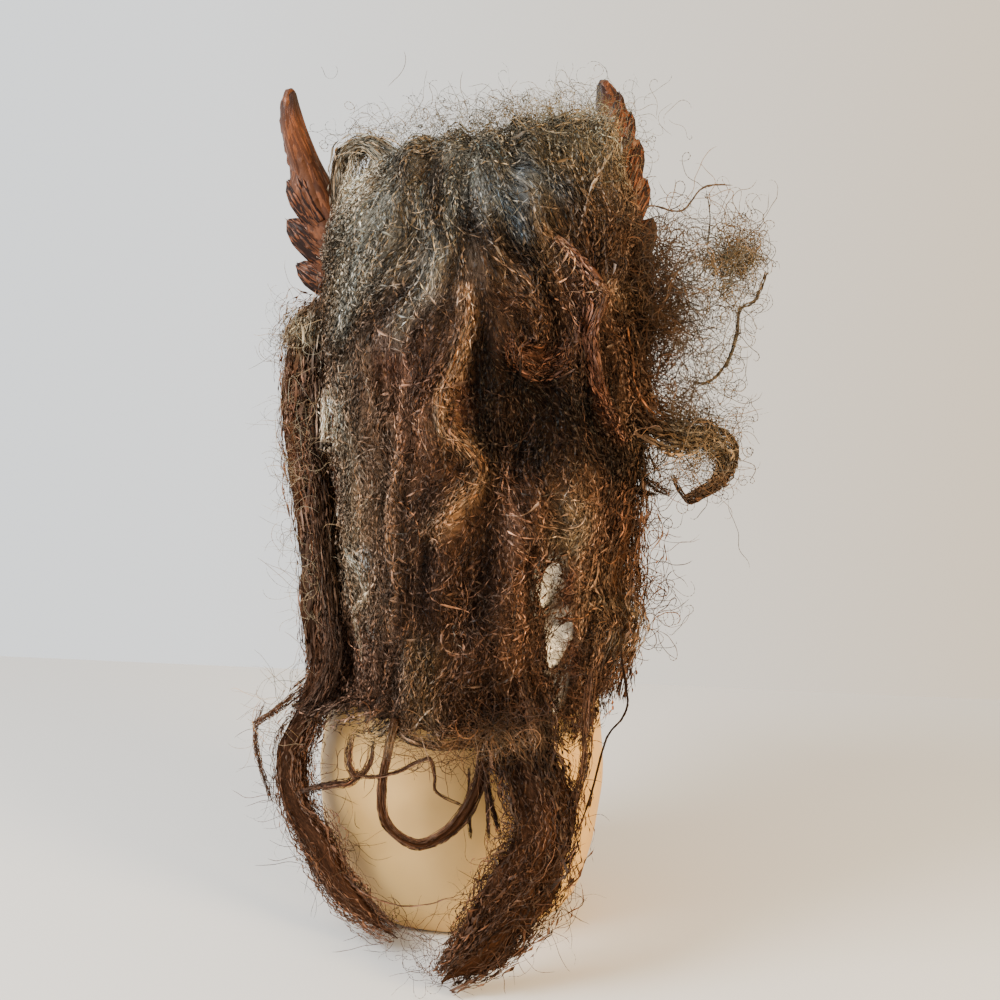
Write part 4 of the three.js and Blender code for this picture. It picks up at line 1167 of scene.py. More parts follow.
# Raised locks over the back: [x, z] points in mm, half width, height, strands, brightness, tone.
STREAMS = {
    # The cream tint is painted light where light comes through thin hair.
    "fold_veil": [[[57, 390], [59, 378], [62, 362], [66, 342]], 8.0, 4.0, 200, 0.6, "cream"],
    # The gold tint and bright strands of this lock are a painted warm highlight.
    "lit_s_lock": [[[7, 321], [3, 311], [6, 297], [9, 286], [13, 273], [11, 261], [1, 252], [-6, 241],
        [-2, 232], [8, 224], [22, 209]], 2.8, 2.0, 260, 0.65, "gold_highlight"],
    "red_curl": [[[-33, 345], [-44, 335], [-52, 325], [-54, 319], [-50, 303], [-56, 283], [-61, 274],
        [-67, 264]], 3.6, 5.0, 220, 1.6, "red"],
    "swirl": [[[-16, 304], [-19, 292], [-30, 285], [-41, 292], [-40, 304]], 5.0, 3.0, 110, 1.4, "red"],
    "thin_loop": [[[-43, 346], [-47, 364], [-52, 376], [-52, 382], [-49, 382], [-48, 377], [-51, 372]],
        0.5, 5.0, 8, 1.8, None],
    "hem_band": [[[31, 116], [13, 110], [-10, 109], [-33, 113], [-49, 120]], 4.0, 3.0, 120, 1.1, "tan"],
    "left_wisp": [[[59, 195], [53, 190], [46, 177], [52, 165], [48, 142]], 3.0, 4.0, 60, 1.2, "cream"],
    "pale_hem": [[[25, 160], [21, 142], [23, 122], [21, 111]], 6.0, 3.0, 160, 0.8, "tan"],
}


# Hair: frizz

FRIZZ_STRIDE = 0.95
# The room that stray hairs keep to: two corners, in metres.
STRAY_ROOM = np.array([[-0.1405, -0.16, 0.001], [0.119, 0.135, 0.450]])

# Clouds of stray hairs: node, strand width, steps of a strand, brightness, tone, then rows of
# [x, y, z, spread in x, spread in y, spread in z, strands, bend per mm].
FRIZZ = {
    "frizz_side": ["hair_curl_right", 0.36, 30, 0.8, None,
        [[-79, 60, 336, 6, 7, 8, 260, 0.22], [-85, 58, 318, 5.5, 7, 9, 380, 0.22],
        [-85, 56, 301, 5, 7, 8, 240, 0.25], [-77, 56, 284, 4, 6, 9, 120, 0.2],
        [-86, 56, 262, 8, 6, 4, 70, 0.25], [-82, 60, 212, 5, 8, 14, 60, 0.2],
        [-86, 62, 172, 5, 8, 9, 80, 0.25]]],
    "frizz_right": ["hair_curl_right", 0.28, 40, 1.0, None,
        [[-126, 36, 344, 5.5, 5, 5, 200, 0.45], [-117, 40, 343, 3, 4, 4, 60, 0.45],
        [-121, 42, 326, 8, 6, 9, 80, 0.35], [-100, 48, 346, 12, 7, 13, 100, 0.28],
        [-105, 48, 309, 9, 7, 12, 80, 0.28], [-112, 48, 290, 9, 7, 9, 60, 0.28],
        [-95, 50, 276, 9, 7, 7, 110, 0.32], [-104, 52, 261, 11, 6, 3.5, 150, 0.3],
        [-112, 50, 248, 8, 6, 5, 100, 0.32], [-94, 53, 236, 8, 6, 4, 50, 0.3],
        [-108, 46, 300, 16, 7, 40, 40, 0.12]]],
    "frizz_crown": ["hair_curtain", 0.21, 26, 1.1, "olive",
        [[-42, 34, 394, 17, 10, 8, 260, 0.3], [-40, -2, 409, 15, 18, 3, 270, 0.3],
        [-12, -4, 406, 20, 18, 3, 240, 0.3], [24, -6, 399, 18, 18, 3.5, 200, 0.3],
        [-56, 20, 390, 5, 10, 12, 110, 0.25], [55, 0, 390, 9, 14, 4, 90, 0.3],
        [0, -6, 410, 44, 14, 6, 30, 0.15]]],
    "frizz_left": ["hair_lock_left", 0.20, 30, 1.9, "khaki",
        [[93, -8, 295, 5, 6, 4, 110, 0.30], [95, -4, 262, 4, 8, 22, 70, 0.12],
        [80, 10, 262, 4, 6, 22, 110, 0.15], [82, 18, 205, 4, 8, 30, 120, 0.12],
        [78, 18, 236, 5, 6, 12, 110, 0.2], [73, 30, 172, 5, 6, 20, 110, 0.15],
        [92, 38, 108, 6, 8, 12, 50, 0.1]]],
    "frizz_low": ["hair_lock_left", 0.22, 28, 0.9, None,
        [[84, 44, 76, 7, 7, 16, 90, 0.08], [64, 58, 42, 9, 6, 9, 90, 0.08],
        [30, 80, 12, 6, 4, 3, 50, 0.2]]],
    "frizz_tail": ["hair_tail_right", 0.24, 28, 0.85, None,
        [[-40, 104, 66, 7, 8, 18, 130, 0.10], [-24, 110, 38, 9, 7, 12, 140, 0.10],
        [2, 114, 10, 7, 5, 5, 130, 0.25]]],
    "frizz_gap": ["hair_curtain", 0.18, 20, 0.9, "umber",
        [[-38, 92, 190, 4, 1, 8, 80, 0.25], [-45, 93, 160, 4, 1, 8, 90, 0.25],
        [-50, 88, 130, 4, 2, 8, 50, 0.2]]],
    "frizz_hem": ["hair_curtain", 0.25, 26, 0.8, None,
        [[-20, 97, 121, 11, 3, 7, 260, 0.2], [12, 95, 112, 24, 3, 4, 150, 0.15]]],
}


def curly_strands(rng, start, steps, bend):
    """Strands that wander with ever changing bends, in metres from starts in mm."""
    count = len(start)
    path = np.empty((count, steps, 3))
    path[:, 0] = start
    turn = rng.uniform(0, 2 * math.pi, count)
    tilt = rng.normal(0, 0.5, count)
    rate = rng.normal(0, bend, count)
    for k in range(1, steps):
        rate = 0.88 * rate + rng.normal(0, bend * 0.45, count)
        turn = turn + rate * FRIZZ_STRIDE
        tilt = 0.95 * tilt + rng.normal(0, 0.12, count)
        way = np.stack([np.cos(turn) * np.cos(tilt), np.sin(tilt), np.sin(turn) * np.cos(tilt)], 1)
        path[:, k] = path[:, k - 1] + FRIZZ_STRIDE * way
    return path * MM


# The face: carved fur that runs back from the nose, and the zones that are painted otherwise

FUR_CENTRE = np.array([0.0, -130.0, 215.0])
FUR_ROW = 15.0
FUR_WIDTH = 12.0
FUR_LANE_REACH = 60.0
EYES = np.array([[31.0, -95.0, 272.0], [-31.0, -95.0, 272.0]])
MOUTH = (0.0, -118.0, 194.0)
NOSE = (0.0, -152.0, 227.0)
FACE_MIDDLE = (0.0, -20.0, 250.0)
# Teeth on the +X side: [x, y, z of the root, z of the tip, radius], in mm.
TEETH = [[16, -134, 204, 184, 4.2], [6, -142, 205, 198, 3], [25, -116, 202, 192, 3.2],
         [11.5, -128, 181, 197, 3.6], [4, -132, 183, 189, 2.6], [20, -112, 181, 190, 3]]


def fur_places(place):
    """The angle about the nose and the distance from it, in mm, of points on the face."""
    off = place - FUR_CENTRE
    run = np.linalg.norm(off, axis=1)
    angle = np.arctan2(off[:, 0], off[:, 2]) + 0.05 * np.sin(run / 8.0 + 3.0 * place[:, 0] / 30.0)
    return angle, run


def eye_distance(place, scale):
    """The distance of points on the face from the nearer eye, with each axis scaled."""
    return np.min([np.linalg.norm((place - eye) * scale, axis=1) for eye in EYES], axis=0)


def off_centre(place, centre, reach):
    """0 at a centre and 1 on the oval round it whose half sizes are the reach, for each point."""
    return np.linalg.norm((place - centre) / reach, axis=1)


def fur_height(place):
    """Height from 0 to 1 of overlapping pointed tufts in rows about the nose."""
    angle, run = fur_places(place)
    height = np.zeros(len(place))
    for shift in (0, 1):
        row = np.floor(run / FUR_ROW) - shift
        middle = (row + 0.6) * FUR_ROW
        around = np.maximum(6.0, np.round(2 * math.pi * np.minimum(middle, 75.0) / FUR_WIDTH))
        turn = angle / (2 * math.pi) * around + 0.5 * (row % 2)
        side = np.abs(2.0 * (turn - np.floor(turn)) - 1.0)
        along = run / FUR_ROW - row
        reach = 1.45 * (1.0 - 0.62 * side**1.6)
        inside = smoothstep(0.0, 0.10, reach - along)
        height = np.maximum(height, inside * (0.30 + 0.5 * along / 1.45) * (1.0 - 0.35 * side**2))
    return height


def fur_share(place, normals):
    """1 where the face is furred, 0 on nose, lips, eye rims, teeth and the inner side."""
    away = unit(place - FACE_MIDDLE)
    share = smoothstep(0.15, 0.5, np.einsum("ij,ij->i", away, normals))
    share = share * smoothstep(15.0, 21.0, eye_distance(place, (1.0, 0.6, 1.25)))
    share = share * smoothstep(-126.0, -112.0, place[:, 1] + 0.35 * np.abs(place[:, 2] - 222.0))
    share = share * smoothstep(0.9, 1.15, off_centre(place, MOUTH, (34.0, 44.0, 19.0)))
    return share * smoothstep(12.0, 30.0, np.linalg.norm(place - FUR_CENTRE, axis=1))


def face_paint(place, fur, height, settings):
    """Red-brown fur with light tips, a near black nose, lips and eye rims, and cream teeth."""
    dark = np.array(settings.dark)
    colour = np.array(settings.rubber) * (0.65 + 0.75 * height * fur)[:, None] * np.array([1.0, 1.05, 1.1])
    eyes = smoothstep(20.0, 14.0, eye_distance(place, (1.0, 0.5, 1.3)))
    nose = smoothstep(1.15, 0.95, off_centre(place, NOSE, (17.0, 14.0, 13.0)))
    mouth = smoothstep(1.1, 0.95, off_centre(place, MOUTH, (33.0, 46.0, 17.0)))
    share = np.maximum(np.maximum(eyes, nose), mouth)
    colour += share[:, None] * (dark - colour)
    tooth = np.zeros(len(place))
    for x, y, root, tip, radius in TEETH:
        for side in (1, -1):
            along = np.clip((place[:, 2] - root) / (tip - root), 0.0, 1.0)
            gap = np.hypot(place[:, 0] - side * x, place[:, 1] - y - 1.5 * along)
            gap = gap - radius * (1.1 - 0.85 * along)
            past = np.abs(place[:, 2] - root - along * (tip - root))
            tooth = np.maximum(tooth, smoothstep(1.6, 0.6, gap) * smoothstep(2.0, 0.5, past))
    return colour + tooth[:, None] * (np.array(settings.tooth) - colour)


# The ears: a blade of [x, y, z, half width, half thickness] stations, and feather-like tufts of
# [root, tip, width, thickness, bow], in mm. All of it is moved by EAR_DEPTH along Y. The first value
# is how far the ear's sides that face +X turn pale grey.

EAR_DEPTH = -14
EARS = {
    "mask_ear_left": dict(
        tint_share=0.2,
        blade=[[68, 0, 312, 13, 13], [76, 0, 338, 15, 13], [83, 0, 356, 12, 11], [89, 0, 371, 9, 9],
            [93.6, 0, 382, 7.6, 8], [98.6, 1, 396, 6.6, 7], [101, 2, 408, 5, 5.4],
            [100.8, 2, 415.6, 2.8, 3.0], [100.4, 2, 418, 0.5, 0.5]],
        tufts=[[(74, 7, 344), (100.6, 4, 372), 14, 5, -1.5], [(82, 8, 352), (96.5, 5, 377.5), 9, 4, -1],
            [(70, 8, 330), (100.4, 4, 352.6), 15, 5.4, -2],
            [(66, 8, 317), (95.2, 4, 330.4), 14, 5.4, -2], [(66, 10, 326), (84, 10, 341), 9, 4, 1],
            [(78, 3, 350), (75.2, 2, 373.4), 9, 5, 1]]),
    "mask_ear_right": dict(
        tint_share=0.6,
        blade=[[-62, 0, 312, 15, 13], [-64, 0, 338, 17, 14], [-63, 0, 360, 15, 12],
            [-62.6, 0, 380, 13, 10], [-63, 0, 396, 11.4, 8.4], [-62.4, 1, 410, 8.8, 7],
            [-59.6, 2, 420.5, 5.8, 5.2], [-56.8, 2, 426.6, 3.0, 3.0], [-55.6, 2, 428.6, 0.5, 0.5]],
        tufts=[[(-64, 7, 346), (-81, 4, 380.4), 14, 5, 1.5],
            [(-70, 6, 330), (-85.4, 4, 361), 14, 5, 1.5], [(-61, 6, 398), (-64.8, 5, 422.6), 9, 4, 1],
            [(-64, 6, 384), (-71.4, 4, 413), 10, 4.4, 1], [(-68, 6, 366), (-76, 4, 399.4), 12, 4.6, 1],
            [(-60, 9, 350), (-67, 9, 388), 11, 4, 1], [(-68, 6, 314), (-86, 3, 343), 13, 5, 1.5]]),
}


def blade_rings(stations, rows=84, sides=44):
    """The smooth horn-like body of an ear, with shallow lengthwise hollows: points, lanes and runs."""
    t = np.linspace(0, 1, rows)
    at = curve_at(stations, t)
    at[:, 1] += EAR_DEPTH
    along = unit(np.gradient(at[:, :3], axis=0))
    out = np.array([0.0, 1.0, 0.0])
    across = unit(np.cross(along, out))
    thick = unit(np.cross(across, along))
    turn = full_turn(sides)
    ring = (np.cos(turn)[None, :, None] * across[:, None] * at[:, 3, None, None]
            + np.sin(turn)[None, :, None] * thick[:, None] * at[:, 4, None, None])
    fade = smoothstep(0.0, 0.2, t) * smoothstep(1.0, 0.8, t)
    t = t[:, None]
    relief = 1 + fade[:, None] * (0.05 * np.cos(5 * turn + 2.0 * t) + 0.02 * np.cos(13 * turn + 9 * t))
    lane = np.abs(turn - math.pi) * 6.0 + 0 * t
    run = t * path_length(at[:, :3]) + 0 * turn
    return (at[:, None, :3] + ring * relief[..., None]) * MM, lane, run


def feather_rings(root, tip, width, thickness, bow, rows=38, sides=48):
    """A pointed tuft with lengthwise grooves and a ragged end: points, lanes and runs."""
    root = np.array(root, float) + (0, EAR_DEPTH, 0)
    tip = np.array(tip, float) + (0, EAR_DEPTH, 0)
    axis = tip - root
    side = unit(np.cross(axis, np.array([0.0, 1.0, 0.0])))
    t = np.linspace(0, 1, rows)[:, None]
    turn = full_turn(sides)[None, :]
    half = np.interp(t, [0, 0.15, 0.45, 0.75, 0.92, 1.0], [0.40, 0.50, 0.55, 0.47, 0.30, 0.07]) * width
    deep = np.interp(t, [0, 0.35, 0.75, 1.0], [0.95, 1.05, 0.8, 0.2]) * thickness
    lanes = max(3, round(width / 2.6))
    b = np.cos(turn)
    groove = np.abs(np.cos(lanes * math.pi * 0.5 * (b + 1.0) + 0.8 * np.sin(5 * t + b)))
    fade = smoothstep(0.04, 0.25, t)
    relief = 1 - 0.26 * fade * (1 - groove) * (np.abs(np.sin(turn)) ** 0.4)
    ragged = (0.05 * np.cos(lanes * math.pi * (b + 1.0)) - 0.05 * np.abs(b)) * smoothstep(0.7, 1.0, t)
    lift = bow * np.sin(math.pi * np.clip(t, 0, 1) * 0.9)
    centre = root + (t + ragged)[..., None] * axis + lift[..., None] * side
    out = unit(np.cross(side, axis))
    place = centre + (b * half * (0.6 + 0.4 * relief))[..., None] * side
    place = place + (np.sin(turn) * deep * relief)[..., None] * out
    lane = b * half + 3.0 * root[0] + root[2]
    run = t * np.linalg.norm(axis) + 0 * turn
    return place * MM, lane, run


def ear_mesh(name, ear):
    """The union of an ear's blade and tufts, and 1 at each vertex of a tuft and 0 on the blade.

    Every vertex takes the lane and run of the nearest carved point.
    """
    parts = [blade_rings(ear["blade"])] + [feather_rings(*tuft) for tuft in ear["tufts"]]
    mesh = joined(name, [loft_mesh(name, rings) for rings, _, _ in parts])
    known = KDTree(sum(lane.size for _, lane, _ in parts))
    values = []
    for order, (rings, lane, run) in enumerate(parts):
        for place, across, along in zip(rings.reshape(-1, 3), lane.ravel(), run.ravel()):
            known.insert(place, len(values))
            values.append((across, along, min(order, 1)))
    known.balance()
    values = np.array(values)
    near = np.array([known.find(place)[1] for place in positions(mesh)])
    put_values(mesh, "lane", values[near, 0])
    put_values(mesh, "run", values[near, 1])
    return mesh, values[near, 2]


def joined(name, meshes):
    """The union of closed meshes as one closed mesh."""
    others = []
    for mesh in meshes[1:]:
        other = bpy.data.objects.new(name + "_part", mesh)
        bpy.context.scene.collection.objects.link(other)
        others.append(other)

    def build(work):
        for other in others:
            cut = work.modifiers.new("join", "BOOLEAN")
            cut.operation = "UNION"
            cut.solver = "MANIFOLD"
            cut.object = other
    made = with_modifiers(name, meshes[0], build)
    for other in others:
        bpy.data.objects.remove(other)
    return made


# Operators

def colour_setting(name, description, default):
    return FloatVectorProperty(
        name=name, description=description, default=default, subtype="COLOR", size=3, min=0, max=1)


def length_setting(name, description, default, low, high):
    """A length in metres, from default, low and high in mm."""
    return FloatProperty(
        name=name, description=description, default=default * MM, min=low * MM, max=high * MM, unit="LENGTH")


class DisplayHeadSettings(bpy.types.PropertyGroup):
    cream: colour_setting("Cream", "Colour of the display head", (0.55, 0.33, 0.11))
    aged_cream: colour_setting("Aged cream", "Colour of its faint yellow stains", (0.47, 0.26, 0.075))
    grain: length_setting("Mesh size", "Size of the faces of the smooth head", 5.5, 1, 10)


class MaskSettings(bpy.types.PropertyGroup):
    rubber: colour_setting("Rubber", "Main colour of the moulded mask", (0.115, 0.038, 0.0155))
    wash: colour_setting("Wash", "Dark colour in the grooves", (0.011, 0.0045, 0.0035))
    # The ear tip colour also serves as painted shade on the sides of the ears that turn away from +Y.
    tip_and_side_shade: colour_setting("Ear tip", "Dark violet-grey of the ear tips", (0.012, 0.009, 0.010))
    # This grey tints the sides of the ears that face +X.
    rim: colour_setting("Ear rim", "Pale grey of the ears' thinly painted edges", (0.20, 0.155, 0.135))
    tooth: colour_setting("Teeth", "Colour of the teeth", (0.62, 0.48, 0.27))
    dark: colour_setting("Nose and lips", "Near black of nose, lips and eye rims", (0.028, 0.014, 0.012))
    fineness: length_setting("Mesh size", "Size of the mask's faces before they are thinned out", 1.9, 1, 5)
    faces: IntProperty(
        name="Faces", description="Triangles kept on the moulded mask", default=70000, min=10000,
        max=190000)
    tuft_height: length_setting("Tuft height", "How far the moulded fur stands out", 2.4, 0, 6)


class HairSettings(bpy.types.PropertyGroup):
    width: length_setting("Strand width", "Width of one visible strand", 0.25, 0.1, 2)
    count: IntProperty(
        name="Curtain strands", description="Number of strands over crown and back", default=15900, min=100,
        max=40000)
    length: length_setting("Strand length", "Length of one visible strand of the curtain", 26, 5, 200)


class StageSettings(bpy.types.PropertyGroup):
    floor: colour_setting("Floor", "Colour of the plain floor", (0.565, 0.54, 0.505))
    focal: FloatProperty(
        name="Focal length", description="Focal length of the camera in mm", default=50.4, min=10, max=300)


# The stage, in metres and watts: corners of the floor, and the camera's place and turn.
FLOOR_CORNERS = np.array([[-2, -0.42, 0], [2, -0.42, 0], [2, 2.5, 0], [-2, 2.5, 0]], float)
CAMERA_PLACE = (-0.0142, 0.720, 0.3212)
CAMERA_TILT = math.radians(8.5)
CAMERA_ROLL = math.radians(2.5)
SENSOR_WIDTH = 36.0
LIGHT_AIM = Vector((0, 0, 0.22))
WORLD_STRENGTH = 1.8
# Colours of the light from all round, from the -X side to the +X side.
WORLD_STOPS = [(0.0, (0.66, 0.50, 0.33)), (0.45, (0.74, 0.69, 0.61)), (0.7, (0.78, 0.79, 0.79)),
               (1.0, (0.74, 0.79, 0.83))]


class MASK_OT_stage(bpy.types.Operator):
    """Add the floor, the lights and the camera"""
    bl_idname = "mask.stage"
    bl_label = "Stage"

    def execute(self, context):
        settings = context.scene.mask_stage
        material, _, shader = finish("plain_floor", 0.6, 0.3)
        shader.inputs["Base Color"].default_value = (*settings.floor, 1)
        floor = add_piece("floor", mesh_from("floor", FLOOR_CORNERS, np.array([[0, 1, 2, 3]])), material)
        self.add_world(context)
        self.add_light("window", (0.95, 0.55, 0.95), 0.7, 42.0, (0.86, 0.93, 1.0))
        self.add_light("lamp", (-0.9, 0.75, 0.55), 0.5, 34.0, (1.0, 0.76, 0.44))
        self.add_camera(context, settings.focal)
        return {"FINISHED"}

    @staticmethod
    def add_world(context):
        """Soft light from all round: cool on the +X side and warm on the -X side."""
        world = bpy.data.worlds.new("soft_room")
        context.scene.world = world
        world.use_nodes = True
        tree = world.node_tree
        back = tree.nodes["Background"]
        place = tree.nodes.new("ShaderNodeTexCoord")
        split = tree.nodes.new("ShaderNodeSeparateXYZ")
        tree.links.new(place.outputs["Generated"], split.inputs["Vector"])
        side = spread(tree, split.outputs["X"], -0.5, 0.5, 0.0, 1.0)
        tree.links.new(ramp(tree, side, WORLD_STOPS), back.inputs["Color"])
        back.inputs["Strength"].default_value = WORLD_STRENGTH

    @staticmethod
    def add_light(name, place, size, power, colour):
        """A soft round light aimed at the middle of the head."""
        light = bpy.data.lights.new(name, "AREA")
        light.shape = "DISK"
        light.size = size
        light.energy = power
        light.color = colour
        lamp = bpy.data.objects.new(name, light)
        lamp.location = place
        lamp.rotation_euler = (LIGHT_AIM - Vector(place)).to_track_quat("-Z", "Y").to_euler()
        bpy.context.scene.collection.objects.link(lamp)

    @staticmethod
    def add_camera(context, focal):
        """The camera behind the head, tilted down and rolled a little."""
        forward = Vector((0, -math.cos(CAMERA_TILT), -math.sin(CAMERA_TILT)))
        right = Vector((-1, 0, 0))
        up = Vector((0, -math.sin(CAMERA_TILT), math.cos(CAMERA_TILT)))
        across = right * math.cos(CAMERA_ROLL) + up * math.sin(CAMERA_ROLL)
        upright = up * math.cos(CAMERA_ROLL) - right * math.sin(CAMERA_ROLL)
        lens = bpy.data.cameras.new("camera")
        lens.sensor_width = SENSOR_WIDTH
        lens.lens = focal
        camera = bpy.data.objects.new("camera", lens)
        turn = Matrix((across, upright, -forward)).transposed().to_4x4()
        camera.matrix_world = Matrix.Translation(CAMERA_PLACE) @ turn
        context.scene.collection.objects.link(camera)
        context.scene.camera = camera


FLAT_FOOT_HEIGHT = 0.8 * MM


class MASK_OT_display_head(bpy.types.Operator):
    """Add the smooth cream head that the mask is shown on"""
    bl_idname = "mask.display_head"
    bl_label = "Display head"

    def execute(self, context):
        settings = context.scene.mask_stand
        mesh = remeshed("display_head_form", welded_copy("display_head"), settings.grain, 14)
        points = positions(mesh)
        points[points[:, 2] < FLAT_FOOT_HEIGHT, 2] = 0.0
        set_positions(mesh, points)
        piece = add_piece("display_head_form", mesh, cream_finish(settings))
        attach(piece, "root")
        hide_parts("display_head")
        return {"FINISHED"}


class MASK_OT_moulded_mask(bpy.types.Operator):
    """Add the moulded shell of the mask with its carved fur"""
    bl_idname = "mask.moulded_mask"
    bl_label = "Moulded mask"

    def execute(self, context):
        settings = context.scene.mask_rubber
        even = remeshed("moulded_mask", welded_copy("mask_shell"), settings.fineness, 3)
        place = positions(even)
        lift = fur_height(place / MM) * fur_share(place / MM, normals_of(even)) * settings.tuft_height
        set_positions(even, place + normals_of(even) * lift[:, None])
        even.calc_loop_triangles()
        kept = min(1.0, settings.faces / len(even.loop_triangles))

        def build(work):
            thin = work.modifiers.new("thin", "DECIMATE")
            thin.ratio = kept
            thin.use_collapse_triangulate = True
        mesh = with_modifiers("moulded_mask", even, build)
        shade_smooth(mesh)
        place = positions(mesh) / MM
        fur = fur_share(place, normals_of(mesh))
        angle, run = fur_places(place)
        put_values(mesh, "lane", angle * FUR_LANE_REACH)
        put_values(mesh, "run", run)
        put_values(mesh, "slit", 0.6 * fur)
        put_values(mesh, "groove", smoothstep(0.15 * MM, 0.9 * MM, hollows(mesh, 3)))
        put_colours(mesh, "paint", face_paint(place, fur, fur_height(place), settings))
        piece = add_piece("moulded_mask", mesh, rubber_finish(settings))
        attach(piece, "root")
        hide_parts("mask_shell")
        return {"FINISHED"}


class MASK_OT_ears(bpy.types.Operator):
    """Add both moulded ears with their feather-like tufts"""
    bl_idname = "mask.ears"
    bl_label = "Ears"

    def execute(self, context):
        settings = context.scene.mask_rubber
        material = bpy.data.materials["painted_rubber"]
        for name, ear in EARS.items():
            mesh, tufted = ear_mesh(name, ear)
            shade_smooth(mesh)
            put_values(mesh, "groove", smoothstep(0.02 * MM, 0.30 * MM, hollows(mesh, 2)))
            put_values(mesh, "slit", 0.55 + 0.45 * tufted)
            place = positions(mesh) / MM
            facing = normals_of(mesh)
            below = place[:, 2].max() - place[:, 2]
            tip = smoothstep(20.0, 5.0, below)
            # Painted shade: the ear is darker where its surface turns away from +Y.
            edge = smoothstep(0.5, 0.15, facing[:, 1])
            # Paler grey on the sides that face +X, up to 75 mm below the tip.
            rim = smoothstep(0.35, 0.8, facing[:, 0]) * smoothstep(75.0, 50.0, below)
            colour = np.tile(np.array(settings.rubber), (len(place), 1))
            colour += (rim * ear["tint_share"])[:, None] * (np.array(settings.rim) - colour)
            colour += np.maximum(0.9 * tip, 0.6 * edge)[:, None] * (np.array(settings.tip_and_side_shade) - colour)
            put_colours(mesh, "paint", colour)
            piece = add_piece(name, mesh, material)
            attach(piece, "root")
            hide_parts("mask_shell")
        return {"FINISHED"}


STRAP_SWING = 1.14  # radians either side of the middle of the back where the strap meets the mask


class MASK_OT_strap(bpy.types.Operator):
    """Add the elastic cord round the back of the head"""
    bl_idname = "mask.strap"
    bl_label = "Elastic strap"

    def execute(self, context):
        low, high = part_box("elastic_strap")
        height = 0.5 * (low.z + high.z)
        radius = 0.5 * (high.z - low.z)
        swing = np.linspace(-STRAP_SWING, STRAP_SWING, 120)
        wide = high.x / math.sin(STRAP_SWING)
        centre = np.stack([np.sin(swing) * (wide - radius), np.cos(swing) * (high.y - radius),
                           np.full(len(swing), height)], 1)
        along = unit(np.gradient(centre, axis=0))
        up = np.array([0.0, 0.0, 1.0])
        out = unit(np.cross(along, up))
        turn = full_turn(12)[None, :, None]
        rings = centre[:, None] + radius * (np.cos(turn) * out[:, None] + np.sin(turn) * up)
        piece = add_piece("elastic_cord", loft_mesh("elastic_cord", rings), strap_finish())
        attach(piece, "root")
        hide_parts("elastic_strap")
        return {"FINISHED"}


class MASK_OT_hair_curtain(bpy.types.Operator):
    """Add the hair over crown and back"""
    bl_idname = "mask.hair_curtain"
    bl_label = "Hair curtain"

    def execute(self, context):
        settings = context.scene.mask_hair
        sheet = Sheet("hair_curtain")
        fibre_finish()
        hair_piece(sheet_mass(sheet, "hair_curtain_mass", mass_finish()), "hair_curtain")
        for part in range(CURTAIN_PIECES):
            rng = draws("curtain", part)
            count = settings.count // CURTAIN_PIECES
            strands, level = curtain_strands(sheet, rng, count, settings.length / MM)
            hair_strands(f"hair_curtain_strands_{part + 1}", "hair_curtain", strands, rng, settings.width,
                         dull=0.43, bright=2.75, level=level, free=False)
        for order, (name, (route, width, lift, count, gain, tint)) in enumerate(STREAMS.items()):
            rng = draws("stream", order)
            strands = stream_strands(sheet, rng, route, width, lift, count)
            hair_strands("hair_" + name, "hair_curtain", strands, rng, settings.width, dull=0.4 * gain,
                         bright=1.8 * gain, vary=0.3, free=False, tint=tint)
        return {"FINISHED"}


class MASK_OT_hair_locks(bpy.types.Operator):
    """Add the free locks, tails and curls"""
    bl_idname = "mask.hair_locks"
    bl_label = "Hair locks"

    def execute(self, context):
        settings = context.scene.mask_hair
        mass = bpy.data.materials["tangled_mass"]
        for order, (node, plan) in enumerate(LOCKS.items()):
            rng = draws("lock", order)
            lock = Lock(plan["stations"], plan.get("away"))
            hair_piece(lock.mass(node + "_mass", plan["core"], mass), node)
            strands, level = lock.strands(rng, plan["count"], plan["bunches"], plan["span"], plan["steps"],
                                          plan["stray"], plan["core"])
            hair_strands(node + "_strands", node, strands, rng, 0.9 * settings.width, plan["wave"],
                         plan["height"], dull=0.8, bright=1.35, vary=0.25, level=level * plan["gain"])
        for order, (name, (node, route, width, count, height, gain)) in enumerate(WISPS.items()):
            rng = draws("wisp", order)
            lock = Lock([[*point, width, width] for point in route], (0.0, 1.0, 0.1))
            steps = max(12, min(44, int(lock.length / 1.1)))
            strands, level = lock.strands(rng, count, max(1, count // 22), (0.45, 0.95), steps, 0.5)
            thickness = settings.width * (THIN_WISP_GAIN if width < THIN_WISP else 1.0)
            hair_strands("hair_" + name, node, strands, rng, thickness, (4.5, 8.0),
                         (0.3 * height, height), dull=0.6, bright=1.7, level=level * gain)
        return {"FINISHED"}


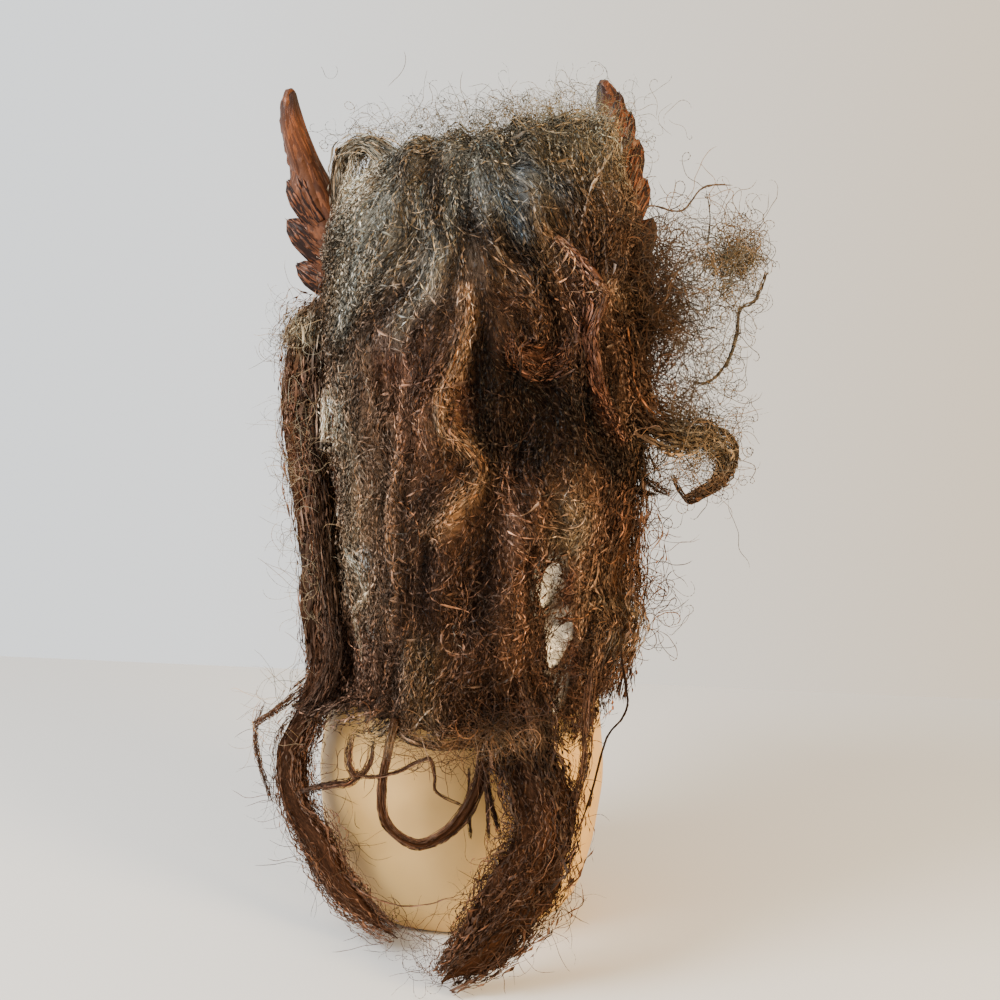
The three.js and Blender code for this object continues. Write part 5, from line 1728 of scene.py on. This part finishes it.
class MASK_OT_stray_hair(bpy.types.Operator):
    """Add the frizz beside the hair and the fine strands that stand off it"""
    bl_idname = "mask.stray_hair"
    bl_label = "Stray hair"

    def execute(self, context):
        for order, (name, (node, width, steps, gain, tint, clouds)) in enumerate(FRIZZ.items()):
            rng = draws("frizz", order)
            made = []
            for x, y, z, wide, deep, high, count, bend in clouds:
                start = rng.normal((x, y, z), (wide, deep, high), (count, 3))
                made.append(curly_strands(rng, start, steps, bend))
            strands = np.concatenate(made)
            inside = (strands > STRAY_ROOM[0]) & (strands < STRAY_ROOM[1])
            strands = strands[np.all(inside, axis=(1, 2))]
            tones = tone_at(strands, rng, 0.3, tint) * gain
            mesh = ribbon_mesh("hair_" + name, strands, tones, width * MM, rng)
            hair_piece(add_piece("hair_" + name, mesh, bpy.data.materials["crimped_fibre"]), node)
        return {"FINISHED"}


OPERATORS = (
    MASK_OT_stage,
    MASK_OT_display_head,
    MASK_OT_moulded_mask,
    MASK_OT_ears,
    MASK_OT_strap,
    MASK_OT_hair_curtain,
    MASK_OT_hair_locks,
    MASK_OT_stray_hair,
)


class MASK_PT_panel(bpy.types.Panel):
    """A button for each group of pieces, and the sizes and colours that can be changed"""
    bl_label = "Wolf mask"
    bl_idname = "MASK_PT_panel"
    bl_space_type = "VIEW_3D"
    bl_region_type = "UI"
    bl_category = "Wolf mask"

    def draw(self, context):
        layout = self.layout
        for operator in OPERATORS:
            layout.operator(operator.bl_idname)
        for group in SETTINGS:
            box = layout.box()
            values = getattr(context.scene, group)
            for name in values.__annotations__:
                box.prop(values, name)


SETTINGS = {
    "mask_stage": StageSettings,
    "mask_stand": DisplayHeadSettings,
    "mask_rubber": MaskSettings,
    "mask_hair": HairSettings,
}


def register():
    for group, kind in SETTINGS.items():
        bpy.utils.register_class(kind)
        setattr(bpy.types.Scene, group, PointerProperty(type=kind))
    for kind in (*OPERATORS, MASK_PT_panel):
        bpy.utils.register_class(kind)


def unregister():
    for kind in (MASK_PT_panel, *reversed(OPERATORS)):
        bpy.utils.unregister_class(kind)
    for group, kind in SETTINGS.items():
        delattr(bpy.types.Scene, group)
        bpy.utils.unregister_class(kind)


def main():
    register()
    for operator in OPERATORS:
        getattr(bpy.ops.mask, operator.bl_idname.split(".")[1])()


if __name__ == "__main__":
    main()
